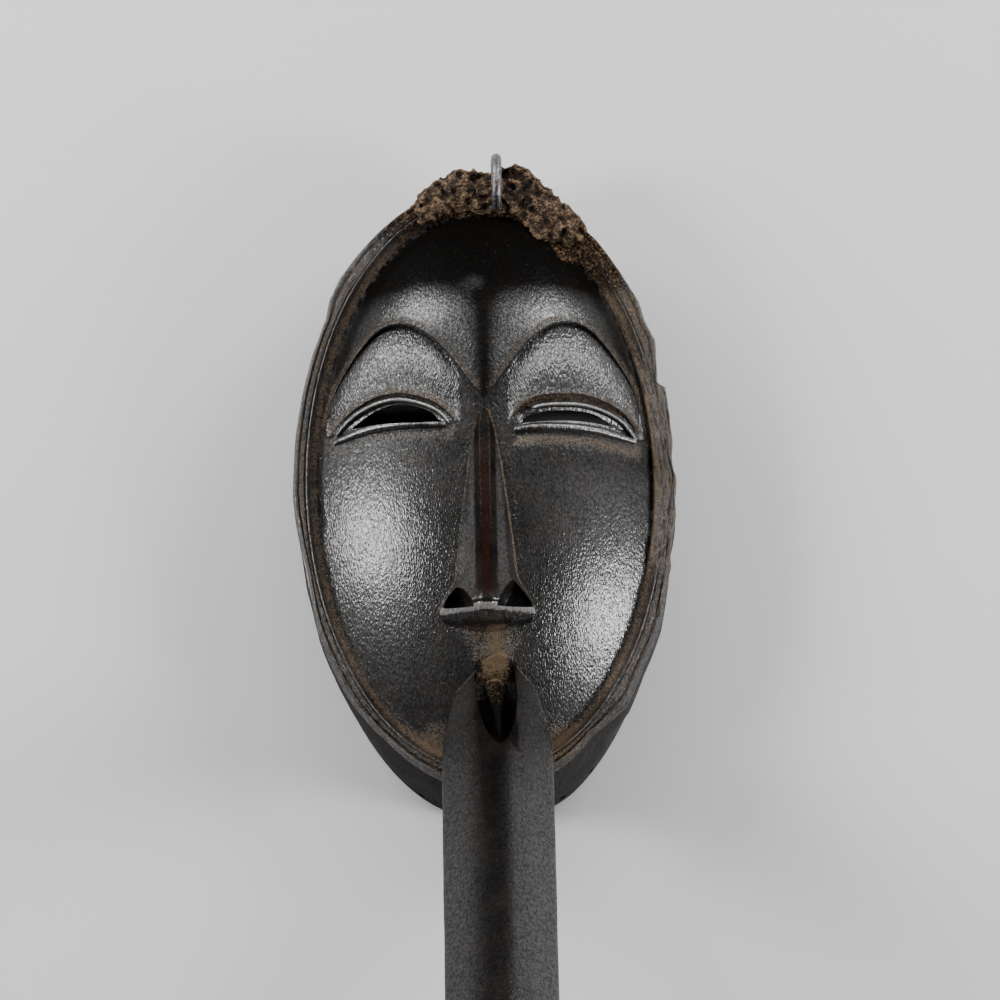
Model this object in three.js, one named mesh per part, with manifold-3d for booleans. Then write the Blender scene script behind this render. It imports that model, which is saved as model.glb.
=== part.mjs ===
// Dan bird mask: an oval face with slit eyes and a long roof-shaped beak in place of the mouth,
// carved with its rim and side wall from one block of hardwood, hollowed behind. An iron staple
// and a rough mass of dried, fibrous crust sit on the crown. The mask lies on its back edge.
// Millimetres. X runs to the viewer's right, Y to the crown, Z out of the face.
import * as THREE from 'three';
import { mergeVertices } from 'three/addons/utils/BufferGeometryUtils.js';
import Module from 'manifold-3d';

const wasm = await Module();
wasm.setup();

// Rim and side wall
const RIM_HALF_WIDTH = 73.4;
const RIM_HALF_LENGTH = 117.7;
const RIM_HEIGHT = 44;
const CHIN_FLARE = 9;
const CHIN_LEAN = 3;
const WALL_THICKNESS = 8;
const WALL_SWELL = 1.2;
const WALL_SWELL_LEVEL = 0.55;
const RIM_STEPS = 60;
// Each pair is a distance in from the rim's outer edge and a height against the rim plane.
const RIM_PROFILE = [[6.4, -2.4], [4.5, 0.7], [3.85, -0.3], [2.7, 0.5], [1.45, -0.4], [0.8, 0.35], [0, -1.6]];

// Convex face inside the rim; the solids laid on it reach down to the carving floor
const FACE_INSET = 8.8;
const FACE_HALF_WIDTH = RIM_HALF_WIDTH - FACE_INSET;
const FACE_HALF_LENGTH = RIM_HALF_LENGTH - FACE_INSET;
const FACE_EDGE_HEIGHT = RIM_HEIGHT - 2.8;
const FACE_RISE = 24;
const FACE_ROUNDNESS = 2.3;
const FACE_RINGS = [0.97, 0.9, 0.81, 0.69, 0.54, 0.37, 0.18];
const CARVING_FLOOR = FACE_EDGE_HEIGHT - 4;

// Hollow behind the face
const HOLLOW_STEPS = 42;
const HOLLOW_EDGE_HEIGHT = 29;
const HOLLOW_RISE = 25;
const HOLLOW_INSET = 10.5;
const HOLLOW_RINGS = [0.93, 0.8, 0.6, 0.35, 0.12];

// Forehead, brows and the keel down the middle of the forehead
const FOREHEAD_REACH = 0.985;
const FOREHEAD_ROWS = [0, 0.07, 0.2, 0.36, 0.54, 0.74, 0.9, 1];
const BROW_STEP = 4.6;
const BROW_END_ANGLE = THREE.MathUtils.degToRad(8);
const BROW_POINTS = [
  [0, 24.8], [12.8, 44.2], [21.5, 54.2], [31, 59.2], [41, 57.2], [51.4, 45.6], [58.6, 32.6], [62.7, 15],
];
const KEEL = { rise: 2.4, halfWidth: 9, fadeFrom: 45, fadeTo: 85, fade: 0.8 };
const EDGE_DIP = 0.7;

// Eyes: the two sides were carved by hand and differ a little
const EYES = [
  {
    side: -1,
    upperLid: [
      [13.4, 18.5], [17.4, 22.8], [23.2, 26], [32, 28.6], [39.5, 28.3], [46.1, 26.3], [52, 22.9], [57.2, 18],
    ],
    lowerLid: [[15, 17.6], [22, 18.2], [30, 18.5], [38, 18.5], [45, 17.9], [52, 16.5], [58.2, 15]],
    slitTop: [[16.6, 19.2], [19.5, 22.6], [23.6, 25.1], [30, 27.2], [36, 27.2], [43.2, 25.1], [51.6, 19.9]],
    slitBottom: [[16.6, 19.2], [24.5, 19.3], [31, 19.7], [37, 20], [44.5, 20.1], [51.6, 19.9]],
    nostril: [[-4.8, 0], [-6.4, 3.6], [-9, 7], [-12, 8], [-14.8, 5.8], [-16.4, 2.2], [-16.8, 0]],
  },
  {
    side: 1,
    upperLid: [
      [13, 18.4], [16.4, 22], [22, 24.6], [32, 25.7], [40, 25.4], [48, 23.2], [54, 19.8], [58.4, 14.4],
    ],
    lowerLid: [[11.5, 15], [18, 16], [26, 16.3], [35, 16.3], [44, 15.7], [52, 14.4], [58.4, 13.4]],
    slitTop: [[14.2, 18], [16.6, 20.8], [22.8, 22.9], [29, 23.7], [35, 23.9], [42.4, 23], [49.6, 18.8]],
    slitBottom: [[14.2, 18], [21.2, 18.8], [29, 19.5], [36, 19.7], [43.2, 19.4], [49.6, 18.8]],
    nostril: [[3.6, 0], [4.9, 3.6], [7.3, 7.8], [10.2, 10.8], [13.4, 8.6], [16.8, 3.6], [18.4, 0]],
  },
];
const UPPER_LID_RADIUS = 1.15;
const LOWER_LID_RADIUS = 1.9;
const LID_LIFT = { upper: 0.6, lower: 0.4 };
const LID_SECTION = { endSize: 0.45, height: 1.25 };
// The eyelid's swelling spans this much of the brow and is fullest towards its middle.
const SOCKET = {
  bulge: 3.2, sunk: 0.5, browFrom: 0.06, browSpan: 0.9, lean: 0.85, sideways: 0.75, upwards: 0.7,
};
const SOCKET_ROWS = [0, 0.08, 0.25, 0.5, 0.75, 0.92, 1];
const EYE_RECESS = 1.6;
const SLIT_SLOPE = Math.tan(THREE.MathUtils.degToRad(12));
const ABOVE_ALL = 90;

// Nose: a wedge with a blunt crest that widens to nostril wings and rounds over at its tip
const NOSE_ROOT_Y = 23.2;
const NOSE_TIP_Y = -57.6;
const NOSE_ROOT_HALF_WIDTH = 2.6;
const NOSE_SPREAD = { amount: 11.6, power: 0.62 };
const NOSE_WING = { amount: 5.2, start: 0.8 };
const NOSE_ROOT_RISE = 1.6;
const NOSE_TIP_RISE = 20;
const NOSE_TIP_DROP = { amount: 9, start: 0.93 };
const NOSE_CREST_HALF_WIDTH = 2.1;
const NOSE_CREST_SHARE = 0.4;
const NOSE_FLANK = { fullness: 0.62, filling: 0.25, from: 0.8, to: 0.98, crestShare: 0.3 };
const NOSE_CAP = 0.35;
const NOSE_LAG = 3;
const NOSE_SINK = 1.4;
// The sill's underside bulges most in its middle and thins to its ends.
const NOSE_UNDERCUT = { slope: 0.17, reach: 24, narrowing: 0.05, atEnds: 0.12, lens: 2.5 };
const NOSE_FOOT_HEIGHT = 58;
const NOSE_SECTIONS = [0, 0.07, 0.15, 0.25, 0.36, 0.48, 0.6, 0.72, 0.8, 0.86, 0.93, 0.965, 1];
const NOSTRIL = { sillY: -55.3, rise: 3.5, reach: 22, pull: 1.2, narrowest: 0.55 };

// Beak, measured along its crest from where it leaves the face; it grew out a little to the right
const BEAK_PITCH = THREE.MathUtils.degToRad(38);
const BEAK_START = { x: 2.8, y: -74, z: 62 };
const BEAK_LENGTH = 205;
const BEAK_HALF_WIDTH = 21.4;
const BEAK_SLIMMING = 0.07;
const BEAK_TIP_START = 150;
const BEAK_TIP_ROUNDNESS = 2.6;
const BEAK_TIP_DROOP = 5;
const BEAK_ROOF_DROP = 14;
const BEAK_ROOT_DEPTH = 46;
const BEAK_END_DEPTH = 24;
const BEAK_TAPER = { from: 10, to: 130 };
const CREST_SHIFT = 1.2;
const FLANGE_HALF_WIDTH = 14.6;
const FLANGE_LENGTH = 42;
const FLANGE_START = -3;
const BEAK_STATIONS = [
  -16, -8, -2, 4, 10, 17, 26, 40, 60, 85, 110, 130, 150, 165, 178, 188, 196, 202, 204.7,
];
// Shares of the half width, of the roof's drop and of the belly below it, from the crest down one side.
const BEAK_SECTION = [
  [0.09, 0.03, 0], [0.52, 0.42, 0], [1, 1, 0], [0.96, 1, 0.14], [0.66, 1, 0.66], [0.22, 1, 0.97],
];

// Slot in the beak's root with a tongue down its middle; pairs are a distance along the crest and a height
const NOTCH = {
  start: -5.5, end: 42, halfWidth: 8.2, top: 9,
  floor: [[-5.5, 0.5], [-3.2, -4], [0, -10.5], [7, -13.5], [20, -12], [32, -7], [42, -1.5]],
};
const TONGUE = {
  start: -9, end: 42, halfWidth: 5.2, bottom: -16,
  top: [[-9, -8], [-1.5, -9.4], [5, -7.2], [15, -4.8], [28, -2.2], [42, -0.1]],
};
const SLOT_OFFSET = -0.8;
const SLOT_SHOULDER = { notch: 0.5, tongue: 1.8 };

// Lacing holes near the back edge
const LACING_COUNT = 38;
const LACING_RADIUS = 1.5;
const LACING_HEIGHT = 5.5;
const LACING_REACH = { out: 14, in: 16 };

// Crown crust and iron staple
const CRUST_START_ANGLE = THREE.MathUtils.degToRad(50);
const CRUST_END_ANGLE = THREE.MathUtils.degToRad(119);
const CRUST_CENTRE = { inset: 2.5, height: 37 };
const CRUST_OUTWARD = 14;
const CRUST_INWARD = 8.5;
const CRUST_LOBE = { reach: 10, at: 0.24, spread: 0.1 };
const CRUST_ABOVE = 11.5;
const CRUST_BELOW = 14;
const CRUST_LUMPS = [{ size: 0.13, round: 7, along: 19 }, { size: 0.1, round: 3, along: 31 }];
const STAPLE_X = 6.4;
const STAPLE_RADIUS = 2.1;
// The staple's path as pairs of Y and Z, from its front leg over the top to its back leg.
const STAPLE_PATH = [
  [109, 46], [112.5, 50.5], [118.5, 52.5], [126, 50], [130, 43], [128.5, 35], [122, 30.5], [114, 28],
];
const LOOP_HOLLOW = { y: 123.2, z: 44, radii: [13, 4.8, 8] };
const GAP = 0.3;

// Signed volume of an indexed triangle mesh, used to turn faces outwards.
function signedVolume(points, faces) {
  let total = 0;
  for (const [i, j, k] of faces) {
    const [a, b, c] = [points[i], points[j], points[k]];
    total += a[0] * (b[1] * c[2] - b[2] * c[1]);
    total -= a[1] * (b[0] * c[2] - b[2] * c[0]);
    total += a[2] * (b[0] * c[1] - b[1] * c[0]);
  }
  return total;
}

function solidFromFaces(points, faces) {
  const turned = signedVolume(points, faces) < 0 ? faces.map(([i, j, k]) => [i, k, j]) : faces;
  const mesh = new wasm.Mesh({
    numProp: 3,
    vertProperties: new Float32Array(points.flat()),
    triVerts: new Uint32Array(turned.flat()),
  });
  return new wasm.Manifold(mesh);
}

function solidFromGeometry(source) {
  const bare = source.clone();
  bare.deleteAttribute('normal');
  bare.deleteAttribute('uv');
  const merged = mergeVertices(bare, 1e-4);
  const place = merged.attributes.position;
  const points = [];
  for (let i = 0; i < place.count; i += 1) {
    points.push([place.getX(i), place.getY(i), place.getZ(i)]);
  }
  const faces = [];
  for (let i = 0; i < merged.index.count; i += 3) {
    faces.push([merged.index.getX(i), merged.index.getX(i + 1), merged.index.getX(i + 2)]);
  }
  return solidFromFaces(points, faces.filter(([i, j, k]) => i !== j && j !== k && k !== i));
}

// Skin over a run of closed rings with equal counts; both ends are closed by a fan to their middle.
function loftSolid(rings) {
  const count = rings[0].length;
  const points = rings.flat();
  const faces = [];
  for (let r = 0; r + 1 < rings.length; r += 1) {
    for (let i = 0; i < count; i += 1) {
      const a = r * count + i;
      const b = r * count + (i + 1) % count;
      faces.push([a, b, b + count], [a, b + count, a + count]);
    }
  }
  for (const [ring, start, flip] of [[rings[0], 0, true], [rings.at(-1), points.length - count, false]]) {
    const middle = [0, 1, 2].map((axis) => ring.reduce((sum, p) => sum + p[axis], 0) / count);
    const centre = points.push(middle) - 1;
    for (let i = 0; i < count; i += 1) {
      const edge = [start + i, start + (i + 1) % count];
      faces.push(flip ? [centre, edge[1], edge[0]] : [centre, edge[0], edge[1]]);
    }
  }
  return solidFromFaces(points, faces);
}

// Closed solid between a curved patch and a flat floor: the patch is rows of points with equal counts.
function patchSolid(rows, floor) {
  const across = rows[0].length;
  const top = rows.flat();
  const points = [...top, ...top.map(([x, y]) => [x, y, floor])];
  const faces = [];
  for (let v = 0; v + 1 < rows.length; v += 1) {
    for (let u = 0; u + 1 < across; u += 1) {
      const a = v * across + u;
      const [b, c, d] = [a + 1, a + across + 1, a + across];
      faces.push([a, b, c], [a, c, d]);
      faces.push([a + top.length, c + top.length, b + top.length]);
      faces.push([a + top.length, d + top.length, c + top.length]);
    }
  }
  const edge = [];
  for (let u = 0; u + 1 < across; u += 1) edge.push(u);
  for (let v = 0; v + 1 < rows.length; v += 1) edge.push(v * across + across - 1);
  for (let u = across - 1; u > 0; u -= 1) edge.push((rows.length - 1) * across + u);
  for (let v = rows.length - 1; v > 0; v -= 1) edge.push(v * across);
  edge.forEach((a, i) => {
    const b = edge[(i + 1) % edge.length];
    faces.push([b, a, a + top.length], [b, a + top.length, b + top.length]);
  });
  return solidFromFaces(points, faces);
}

function curveThrough(points, side = 1) {
  return new THREE.SplineCurve(points.map(([x, y]) => new THREE.Vector2(side * x, y)));
}

// Height at a place along a run of pairs, straight between them.
function heightAlong(pairs, at) {
  const last = pairs.findIndex(([place]) => place >= at);
  if (last <= 0) return last === 0 ? pairs[0][1] : pairs.at(-1)[1];
  const [[fromPlace, fromHeight], [toPlace, toHeight]] = [pairs[last - 1], pairs[last]];
  return THREE.MathUtils.mapLinear(at, fromPlace, toPlace, fromHeight, toHeight);
}

// Point on the rim's oval at an angle, moved in along the oval's normal.
function rimPoint(angle, inset, height, growth = 0) {
  const across = Math.cos(angle);
  const up = Math.sin(angle);
  const normal = new THREE.Vector2(across / RIM_HALF_WIDTH, up / RIM_HALF_LENGTH).normalize();
  const out = growth - inset;
  return [RIM_HALF_WIDTH * across + normal.x * out, RIM_HALF_LENGTH * up + normal.y * out, height];
}

function angles(steps) {
  return Array.from({ length: steps }, (_, i) => (2 * Math.PI * i) / steps);
}

function faceRadius(x, y) {
  return Math.hypot(x / FACE_HALF_WIDTH, y / FACE_HALF_LENGTH);
}

function faceHeight(x, y) {
  const radius = Math.min(faceRadius(x, y), 1);
  return FACE_EDGE_HEIGHT + FACE_RISE * (1 - radius ** FACE_ROUNDNESS);
}

// How far the back edge stands outside the rim: a flare round the chin, more on its right side.
function flareAt(angle) {
  const low = Math.max(0, -Math.sin(angle));
  return CHIN_FLARE * low ** 5 + CHIN_LEAN * low ** 2 * THREE.MathUtils.smoothstep(Math.cos(angle), 0, 0.4);
}

// Face, ridged rim and flared side wall as one closed shell, before it is hollowed.
function outerShell(growth) {
  const ring = (steps, make) => angles(steps).map(make);
  const rings = FACE_RINGS.toReversed().map((radius) => ring(RIM_STEPS, (angle) => {
    const x = FACE_HALF_WIDTH * radius * Math.cos(angle);
    const y = FACE_HALF_LENGTH * radius * Math.sin(angle);
    return [x, y, faceHeight(x, y) + growth];
  }));
  rings.push(ring(RIM_STEPS, (angle) => [
    FACE_HALF_WIDTH * Math.cos(angle), FACE_HALF_LENGTH * Math.sin(angle), FACE_EDGE_HEIGHT + growth,
  ]));
  for (const [inset, rise] of RIM_PROFILE) {
    const sideways = inset ? 0 : growth;
    rings.push(ring(RIM_STEPS, (angle) => rimPoint(angle, inset, RIM_HEIGHT + rise + growth, sideways)));
  }
  for (const [level, swell] of [[WALL_SWELL_LEVEL, WALL_SWELL], [0, 0]]) {
    rings.push(ring(RIM_STEPS, (angle) => {
      const flare = flareAt(angle) * (1 - level);
      return rimPoint(angle, -flare - swell, RIM_HEIGHT * level - (level ? 0 : growth), growth);
    }));
  }
  return loftSolid(rings);
}

// The space behind the face, open at the back.
function hollow() {
  const oval = (inset, height, flared) => angles(HOLLOW_STEPS).map((angle) => (
    rimPoint(angle, inset - (flared ? flareAt(angle) : 0), height)
  ));
  const rings = [oval(WALL_THICKNESS, -1, true), oval(HOLLOW_INSET, HOLLOW_EDGE_HEIGHT, false)];
  for (const scale of HOLLOW_RINGS) {
    const rise = HOLLOW_RISE * (1 - scale ** FACE_ROUNDNESS);
    const edge = oval(HOLLOW_INSET, HOLLOW_EDGE_HEIGHT + rise, false);
    rings.push(edge.map(([x, y, z]) => [x * scale, y * scale, z]));
  }
  return loftSolid(rings);
}

// Extra height of the forehead over the face: a crisp brow step, fading out towards the rim, and a
// soft keel down the middle that runs into the nose.
function foreheadRise(x, y) {
  const radius = faceRadius(x, y);
  const fade = 1 - KEEL.fade * THREE.MathUtils.smoothstep(y, KEEL.fadeFrom, KEEL.fadeTo);
  const keel = KEEL.rise * fade * Math.exp(-((x / KEEL.halfWidth) ** 2)) * (1 - radius ** 2);
  return BROW_STEP * (1 - radius ** 5) - EDGE_DIP * radius ** 12 + keel;
}

function forehead(growth) {
  const columns = 40;
  const brow = curveThrough(BROW_POINTS);
  const outer = FOREHEAD_REACH + growth / FACE_HALF_WIDTH;
  return patchSolid(FOREHEAD_ROWS.map((row) => Array.from({ length: columns + 1 }, (_, i) => {
    const along = (2 * i) / columns - 1;
    const foot = brow.getPoint(Math.abs(along));
    const turn = BROW_END_ANGLE + (1 - Math.abs(along)) * (Math.PI / 2 - BROW_END_ANGLE);
    const side = Math.sign(along) || 1;
    const x = side * THREE.MathUtils.lerp(foot.x, outer * FACE_HALF_WIDTH * Math.cos(turn), row);
    const y = THREE.MathUtils.lerp(foot.y, outer * FACE_HALF_LENGTH * Math.sin(turn), row);
    return [x, y, faceHeight(x, y) + foreheadRise(x, y) + growth];
  })), CARVING_FLOOR);
}

// The swelling eyelid between the brow and the slit.
function socket({ side, upperLid }) {
  const brow = curveThrough(BROW_POINTS);
  const lid = curveThrough(upperLid);
  const columns = 16;
  return patchSolid(SOCKET_ROWS.map((row) => Array.from({ length: columns + 1 }, (_, i) => {
    const along = i / columns;
    const low = lid.getPoint(along);
    const high = brow.getPoint(SOCKET.browFrom + SOCKET.browSpan * along);
    const x = side * THREE.MathUtils.lerp(low.x, high.x, row);
    const y = THREE.MathUtils.lerp(low.y, high.y, row);
    const sideways = Math.max(Math.sin(Math.PI * along ** SOCKET.lean), 0) ** SOCKET.sideways;
    const upwards = Math.max(Math.sin(Math.PI * (0.94 * row + 0.04)), 0) ** SOCKET.upwards;
    return [x, y, faceHeight(x, y) + SOCKET.bulge * sideways * upwards - SOCKET.sunk];
  })), CARVING_FLOOR);
}

// A rounded ridge laid on the face along a curve, thinning to its ends.
function ridgeOnFace(points, side, radius, lift) {
  const curve = curveThrough(points, side);
  const steps = 13;
  const sides = 5;
  const rings = [];
  for (let i = 0; i <= steps; i += 1) {
    const at = curve.getPoint(i / steps);
    const heading = curve.getTangent(i / steps);
    const thinning = Math.max(Math.sin((Math.PI * i) / steps), 0) ** 0.5;
    const size = radius * THREE.MathUtils.lerp(LID_SECTION.endSize, 1, thinning);
    rings.push(angles(sides).map((turn) => [
      at.x - heading.y * size * Math.cos(turn),
      at.y + heading.x * size * Math.cos(turn),
      faceHeight(at.x, at.y) + lift + LID_SECTION.height * size * Math.sin(turn),
    ]));
  }
  return loftSolid(rings);
}

// Cutter that sinks the almond between the lids, in which the slit opens.
function eyeRecess({ side, upperLid, lowerLid }) {
  const columns = 12;
  const rows = [0, 0.25, 0.5, 0.75, 1];
  const [low, high] = [curveThrough(lowerLid), curveThrough(upperLid)];
  return patchSolid(rows.map((row) => Array.from({ length: columns + 1 }, (_, i) => {
    const along = THREE.MathUtils.lerp(0.03, 0.97, i / columns);
    const [from, to] = [low.getPoint(along), high.getPoint(along)];
    const x = side * THREE.MathUtils.lerp(from.x, to.x, row);
    const y = THREE.MathUtils.lerp(from.y, to.y, row);
    const depth = EYE_RECESS * Math.sin(Math.PI * along) ** 0.35 * Math.sin(Math.PI * row);
    return [x, y, faceHeight(x, y) - depth];
  })), ABOVE_ALL);
}

// The almond-shaped slit between the lids, cut right through the wall and rising towards the back.
function eyeSlit({ side, slitTop, slitBottom }) {
  const samples = 10;
  const top = curveThrough(slitTop, side).getPoints(samples);
  const bottom = curveThrough(slitBottom, side).getPoints(samples);
  const outline = [...top, ...bottom.slice(1, -1).reverse()];
  return loftSolid([HOLLOW_EDGE_HEIGHT - 10, ABOVE_ALL].map((height) => outline.map(({ x, y }) => (
    [x, y + (faceHeight(x, y) - EYE_RECESS - height) * SLIT_SLOPE, height]
  ))));
}

function nose() {
  const rings = NOSE_SECTIONS.map((down) => {
    const y = THREE.MathUtils.lerp(NOSE_ROOT_Y, NOSE_TIP_Y, down);
    const wing = NOSE_WING.amount * THREE.MathUtils.smoothstep(down, NOSE_WING.start, 1);
    const half = NOSE_ROOT_HALF_WIDTH + NOSE_SPREAD.amount * down ** NOSE_SPREAD.power + wing;
    const past = Math.max((down - NOSE_TIP_DROP.start) / (1 - NOSE_TIP_DROP.start), 0);
    const climb = (NOSE_TIP_RISE - NOSE_ROOT_RISE) * down ** 1.1;
    const top = faceHeight(0, y) + NOSE_ROOT_RISE + climb - NOSE_TIP_DROP.amount * past ** 2;
    const base = faceHeight(half, y) - NOSE_SINK;
    const crest = Math.min(NOSE_CREST_HALF_WIDTH, half * NOSE_CREST_SHARE);
    const filling = NOSE_FLANK.filling * THREE.MathUtils.smoothstep(down, NOSE_FLANK.from, NOSE_FLANK.to);
    const flank = half * (NOSE_FLANK.fullness + filling) + crest * NOSE_FLANK.crestShare;
    const lag = NOSE_LAG * down;
    const middle = (base + top) / 2;
    return [
      [half, y + lag, base], [flank, y + lag / 2, middle], [crest, y, top - NOSE_CAP],
      [0, y, top],
      [-crest, y, top - NOSE_CAP], [-flank, y + lag / 2, middle], [-half, y + lag, base],
      [-half, y + lag, FACE_EDGE_HEIGHT], [half, y + lag, FACE_EDGE_HEIGHT],
    ];
  });
  const tip = rings.at(-1);
  const halfWidth = Math.max(...tip.map(([x]) => x));
  for (const share of [0.4, 1]) {
    rings.push(tip.map(([x, y, z]) => {
      const drop = Math.max(z - NOSE_FOOT_HEIGHT, 0) * share;
      const outward = Math.abs(x / halfWidth) ** NOSE_UNDERCUT.lens;
      const bulge = THREE.MathUtils.lerp(1, NOSE_UNDERCUT.atEnds, outward);
      const undercut = NOSE_UNDERCUT.slope * (NOSE_FOOT_HEIGHT + NOSE_UNDERCUT.reach - z + drop) * bulge;
      return [x * (1 - NOSE_UNDERCUT.narrowing * share), y - undercut * share, z - drop];
    }));
  }
  return loftSolid(rings);
}

// An arched scoop above the sill under the nose's tip, narrowing as it goes in.
function nostrilScoop({ nostril }) {
  const outline = curveThrough(nostril).getPoints(12);
  const middleX = (nostril[0][0] + nostril.at(-1)[0]) / 2;
  const low = faceHeight(middleX, NOSTRIL.sillY) + NOSTRIL.rise;
  return loftSolid([0, 0.12, 0.3, 1].map((share) => {
    const scale = NOSTRIL.narrowest + (1 - NOSTRIL.narrowest) * Math.min(share / 0.3, 1) ** 0.6;
    return outline.map(({ x, y }) => [
      middleX + (x - middleX) * scale,
      NOSTRIL.sillY + Math.max(y, 0) * scale + NOSTRIL.pull * (1 - share),
      low + NOSTRIL.reach * share,
    ]);
  }));
}

// A point of the beak: along its crest, across it, and square to the crest.
function beakPoint(along, across, lift) {
  return [
    BEAK_START.x + across,
    BEAK_START.y - along * Math.cos(BEAK_PITCH) + lift * Math.sin(BEAK_PITCH),
    BEAK_START.z + along * Math.sin(BEAK_PITCH) + lift * Math.cos(BEAK_PITCH),
  ];
}

// Half width, roof drop, depth and droop of the beak at a distance along its crest.
function beakSize(along) {
  const opening = THREE.MathUtils.clamp((along - FLANGE_START) / FLANGE_LENGTH, 0, 1);
  const root = THREE.MathUtils.lerp(FLANGE_HALF_WIDTH, BEAK_HALF_WIDTH, Math.sin((Math.PI / 2) * opening));
  const slim = 1 - BEAK_SLIMMING * THREE.MathUtils.clamp(along / BEAK_TIP_START, 0, 1);
  const past = THREE.MathUtils.clamp((along - BEAK_TIP_START) / (BEAK_LENGTH - BEAK_TIP_START), 0, 1);
  const tip = Math.sqrt(Math.max(1 - past ** BEAK_TIP_ROUNDNESS, 0));
  const taper = THREE.MathUtils.smoothstep(along, BEAK_TAPER.from, BEAK_TAPER.to);
  return {
    tip,
    half: Math.max(root * slim * tip, 0.6),
    drop: Math.max(BEAK_ROOF_DROP * tip, 0.4),
    depth: Math.max(THREE.MathUtils.lerp(BEAK_ROOT_DEPTH, BEAK_END_DEPTH, taper) * tip, 0.8),
    droop: BEAK_TIP_DROOP * past ** 2,
  };
}

function beak() {
  return loftSolid(BEAK_STATIONS.map((along) => {
    const { tip, half, drop, depth, droop } = beakSize(along);
    const lean = [1, 0.5, 0, 0, 0, 1].map((share) => share * CREST_SHIFT * tip);
    const side = (sign) => BEAK_SECTION.map(([out, roof, belly], i) => (
      beakPoint(along, sign * half * out + lean[i], -drop * roof - (depth - drop) * belly - droop)
    ));
    return [...side(1), ...side(-1).reverse()];
  }));
}

// Tapered cutter or rib along the beak's crest, from the lip down to a point.
function crestWedge({ start, end }, halfWidth, top, bottom, shoulder) {
  const stations = 10;
  return loftSolid(Array.from({ length: stations }, (_, i) => {
    const share = i / (stations - 1);
    const along = THREE.MathUtils.lerp(start, end, share);
    const width = halfWidth(share) + 0.25;
    const middle = THREE.MathUtils.lerp(SLOT_OFFSET, CREST_SHIFT, share);
    const high = top(along);
    const right = [[0.45 * width, high], [width, high - shoulder], [0.8 * width, bottom(along)]];
    const left = right.toReversed().map(([across, lift]) => [-across, lift]);
    return [...right, ...left].map(([across, lift]) => beakPoint(along, middle + across, lift));
  }));
}

function slotCutter() {
  const width = (share) => NOTCH.halfWidth * (1 - share ** 3) ** 0.6;
  const floor = (along) => heightAlong(NOTCH.floor, along);
  return crestWedge(NOTCH, width, () => NOTCH.top, floor, SLOT_SHOULDER.notch);
}

function tongue() {
  const width = (share) => TONGUE.halfWidth * (1 - share) ** 1.3;
  const top = (along) => heightAlong(TONGUE.top, along);
  return crestWedge(TONGUE, width, top, () => TONGUE.bottom, SLOT_SHOULDER.tongue);
}

function lacingHole(index) {
  const angle = (2 * Math.PI * (index + 0.5)) / LACING_COUNT;
  const outside = rimPoint(angle, -LACING_REACH.out, LACING_HEIGHT);
  const inside = rimPoint(angle, LACING_REACH.in, LACING_HEIGHT);
  const span = new THREE.Vector3(...outside).sub(new THREE.Vector3(...inside));
  const drill = new THREE.CylinderGeometry(LACING_RADIUS, LACING_RADIUS, span.length(), 5);
  drill.rotateZ(Math.atan2(span.y, span.x) - Math.PI / 2);
  drill.translate((outside[0] + inside[0]) / 2, (outside[1] + inside[1]) / 2, LACING_HEIGHT);
  return solidFromGeometry(drill);
}

function stapleSolid(radius, reach) {
  const last = STAPLE_PATH.length - 1;
  const path = STAPLE_PATH.map(([y, z], i) => (
    new THREE.Vector3(STAPLE_X, i === last ? y - reach : y, i === 0 ? z - reach : z)
  ));
  const curve = new THREE.CatmullRomCurve3(path);
  const steps = 16;
  const sides = 6;
  const rings = [];
  for (let i = 0; i <= steps; i += 1) {
    const at = curve.getPoint(i / steps);
    const heading = curve.getTangent(i / steps);
    rings.push(angles(sides).map((turn) => [
      at.x + radius * Math.cos(turn),
      at.y - heading.z * radius * Math.sin(turn),
      at.z + heading.y * radius * Math.sin(turn),
    ]));
  }
  return loftSolid(rings);
}

// Lumpy mass over the crown of the rim and its outer wall, with a lobe down the right side.
function crustLump() {
  const steps = 18;
  const sides = 8;
  const rings = [];
  for (let i = 0; i <= steps; i += 1) {
    const share = i / steps;
    const angle = THREE.MathUtils.lerp(CRUST_START_ANGLE, CRUST_END_ANGLE, share);
    const swell = Math.sin(Math.PI * Math.min(Math.max(share, 0.02), 0.98)) ** 0.45;
    const lobe = Math.exp(-(((share - CRUST_LOBE.at) / CRUST_LOBE.spread) ** 2));
    const centre = rimPoint(angle, CRUST_CENTRE.inset, CRUST_CENTRE.height);
    const [outerX, outerY] = rimPoint(angle, -1, 0);
    const out = new THREE.Vector2(outerX - centre[0], outerY - centre[1]).normalize();
    rings.push(angles(sides).map((turn) => {
      const across = Math.cos(turn);
      const lump = CRUST_LUMPS.reduce((sum, wave) => (
        sum + wave.size * Math.sin(wave.round * turn + wave.along * share)
      ), 1);
      const spread = across > 0 ? CRUST_OUTWARD * swell : CRUST_INWARD + CRUST_LOBE.reach * lobe;
      const reach = spread * swell * lump * across;
      const rise = Math.sin(turn) * (Math.sin(turn) > 0 ? CRUST_ABOVE : CRUST_BELOW);
      const height = rise * (0.35 + 0.65 * swell) * lump;
      return [centre[0] + out.x * reach, centre[1] + out.y * reach, centre[2] + height];
    }));
  }
  return loftSolid(rings);
}

// The pit in the crust under the staple, which leaves its loop open from both sides.
function loopHollow() {
  const pit = new THREE.SphereGeometry(1, 10, 6);
  pit.scale(...LOOP_HOLLOW.radii);
  pit.translate(STAPLE_X, LOOP_HOLLOW.y, LOOP_HOLLOW.z);
  return solidFromGeometry(pit);
}

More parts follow.
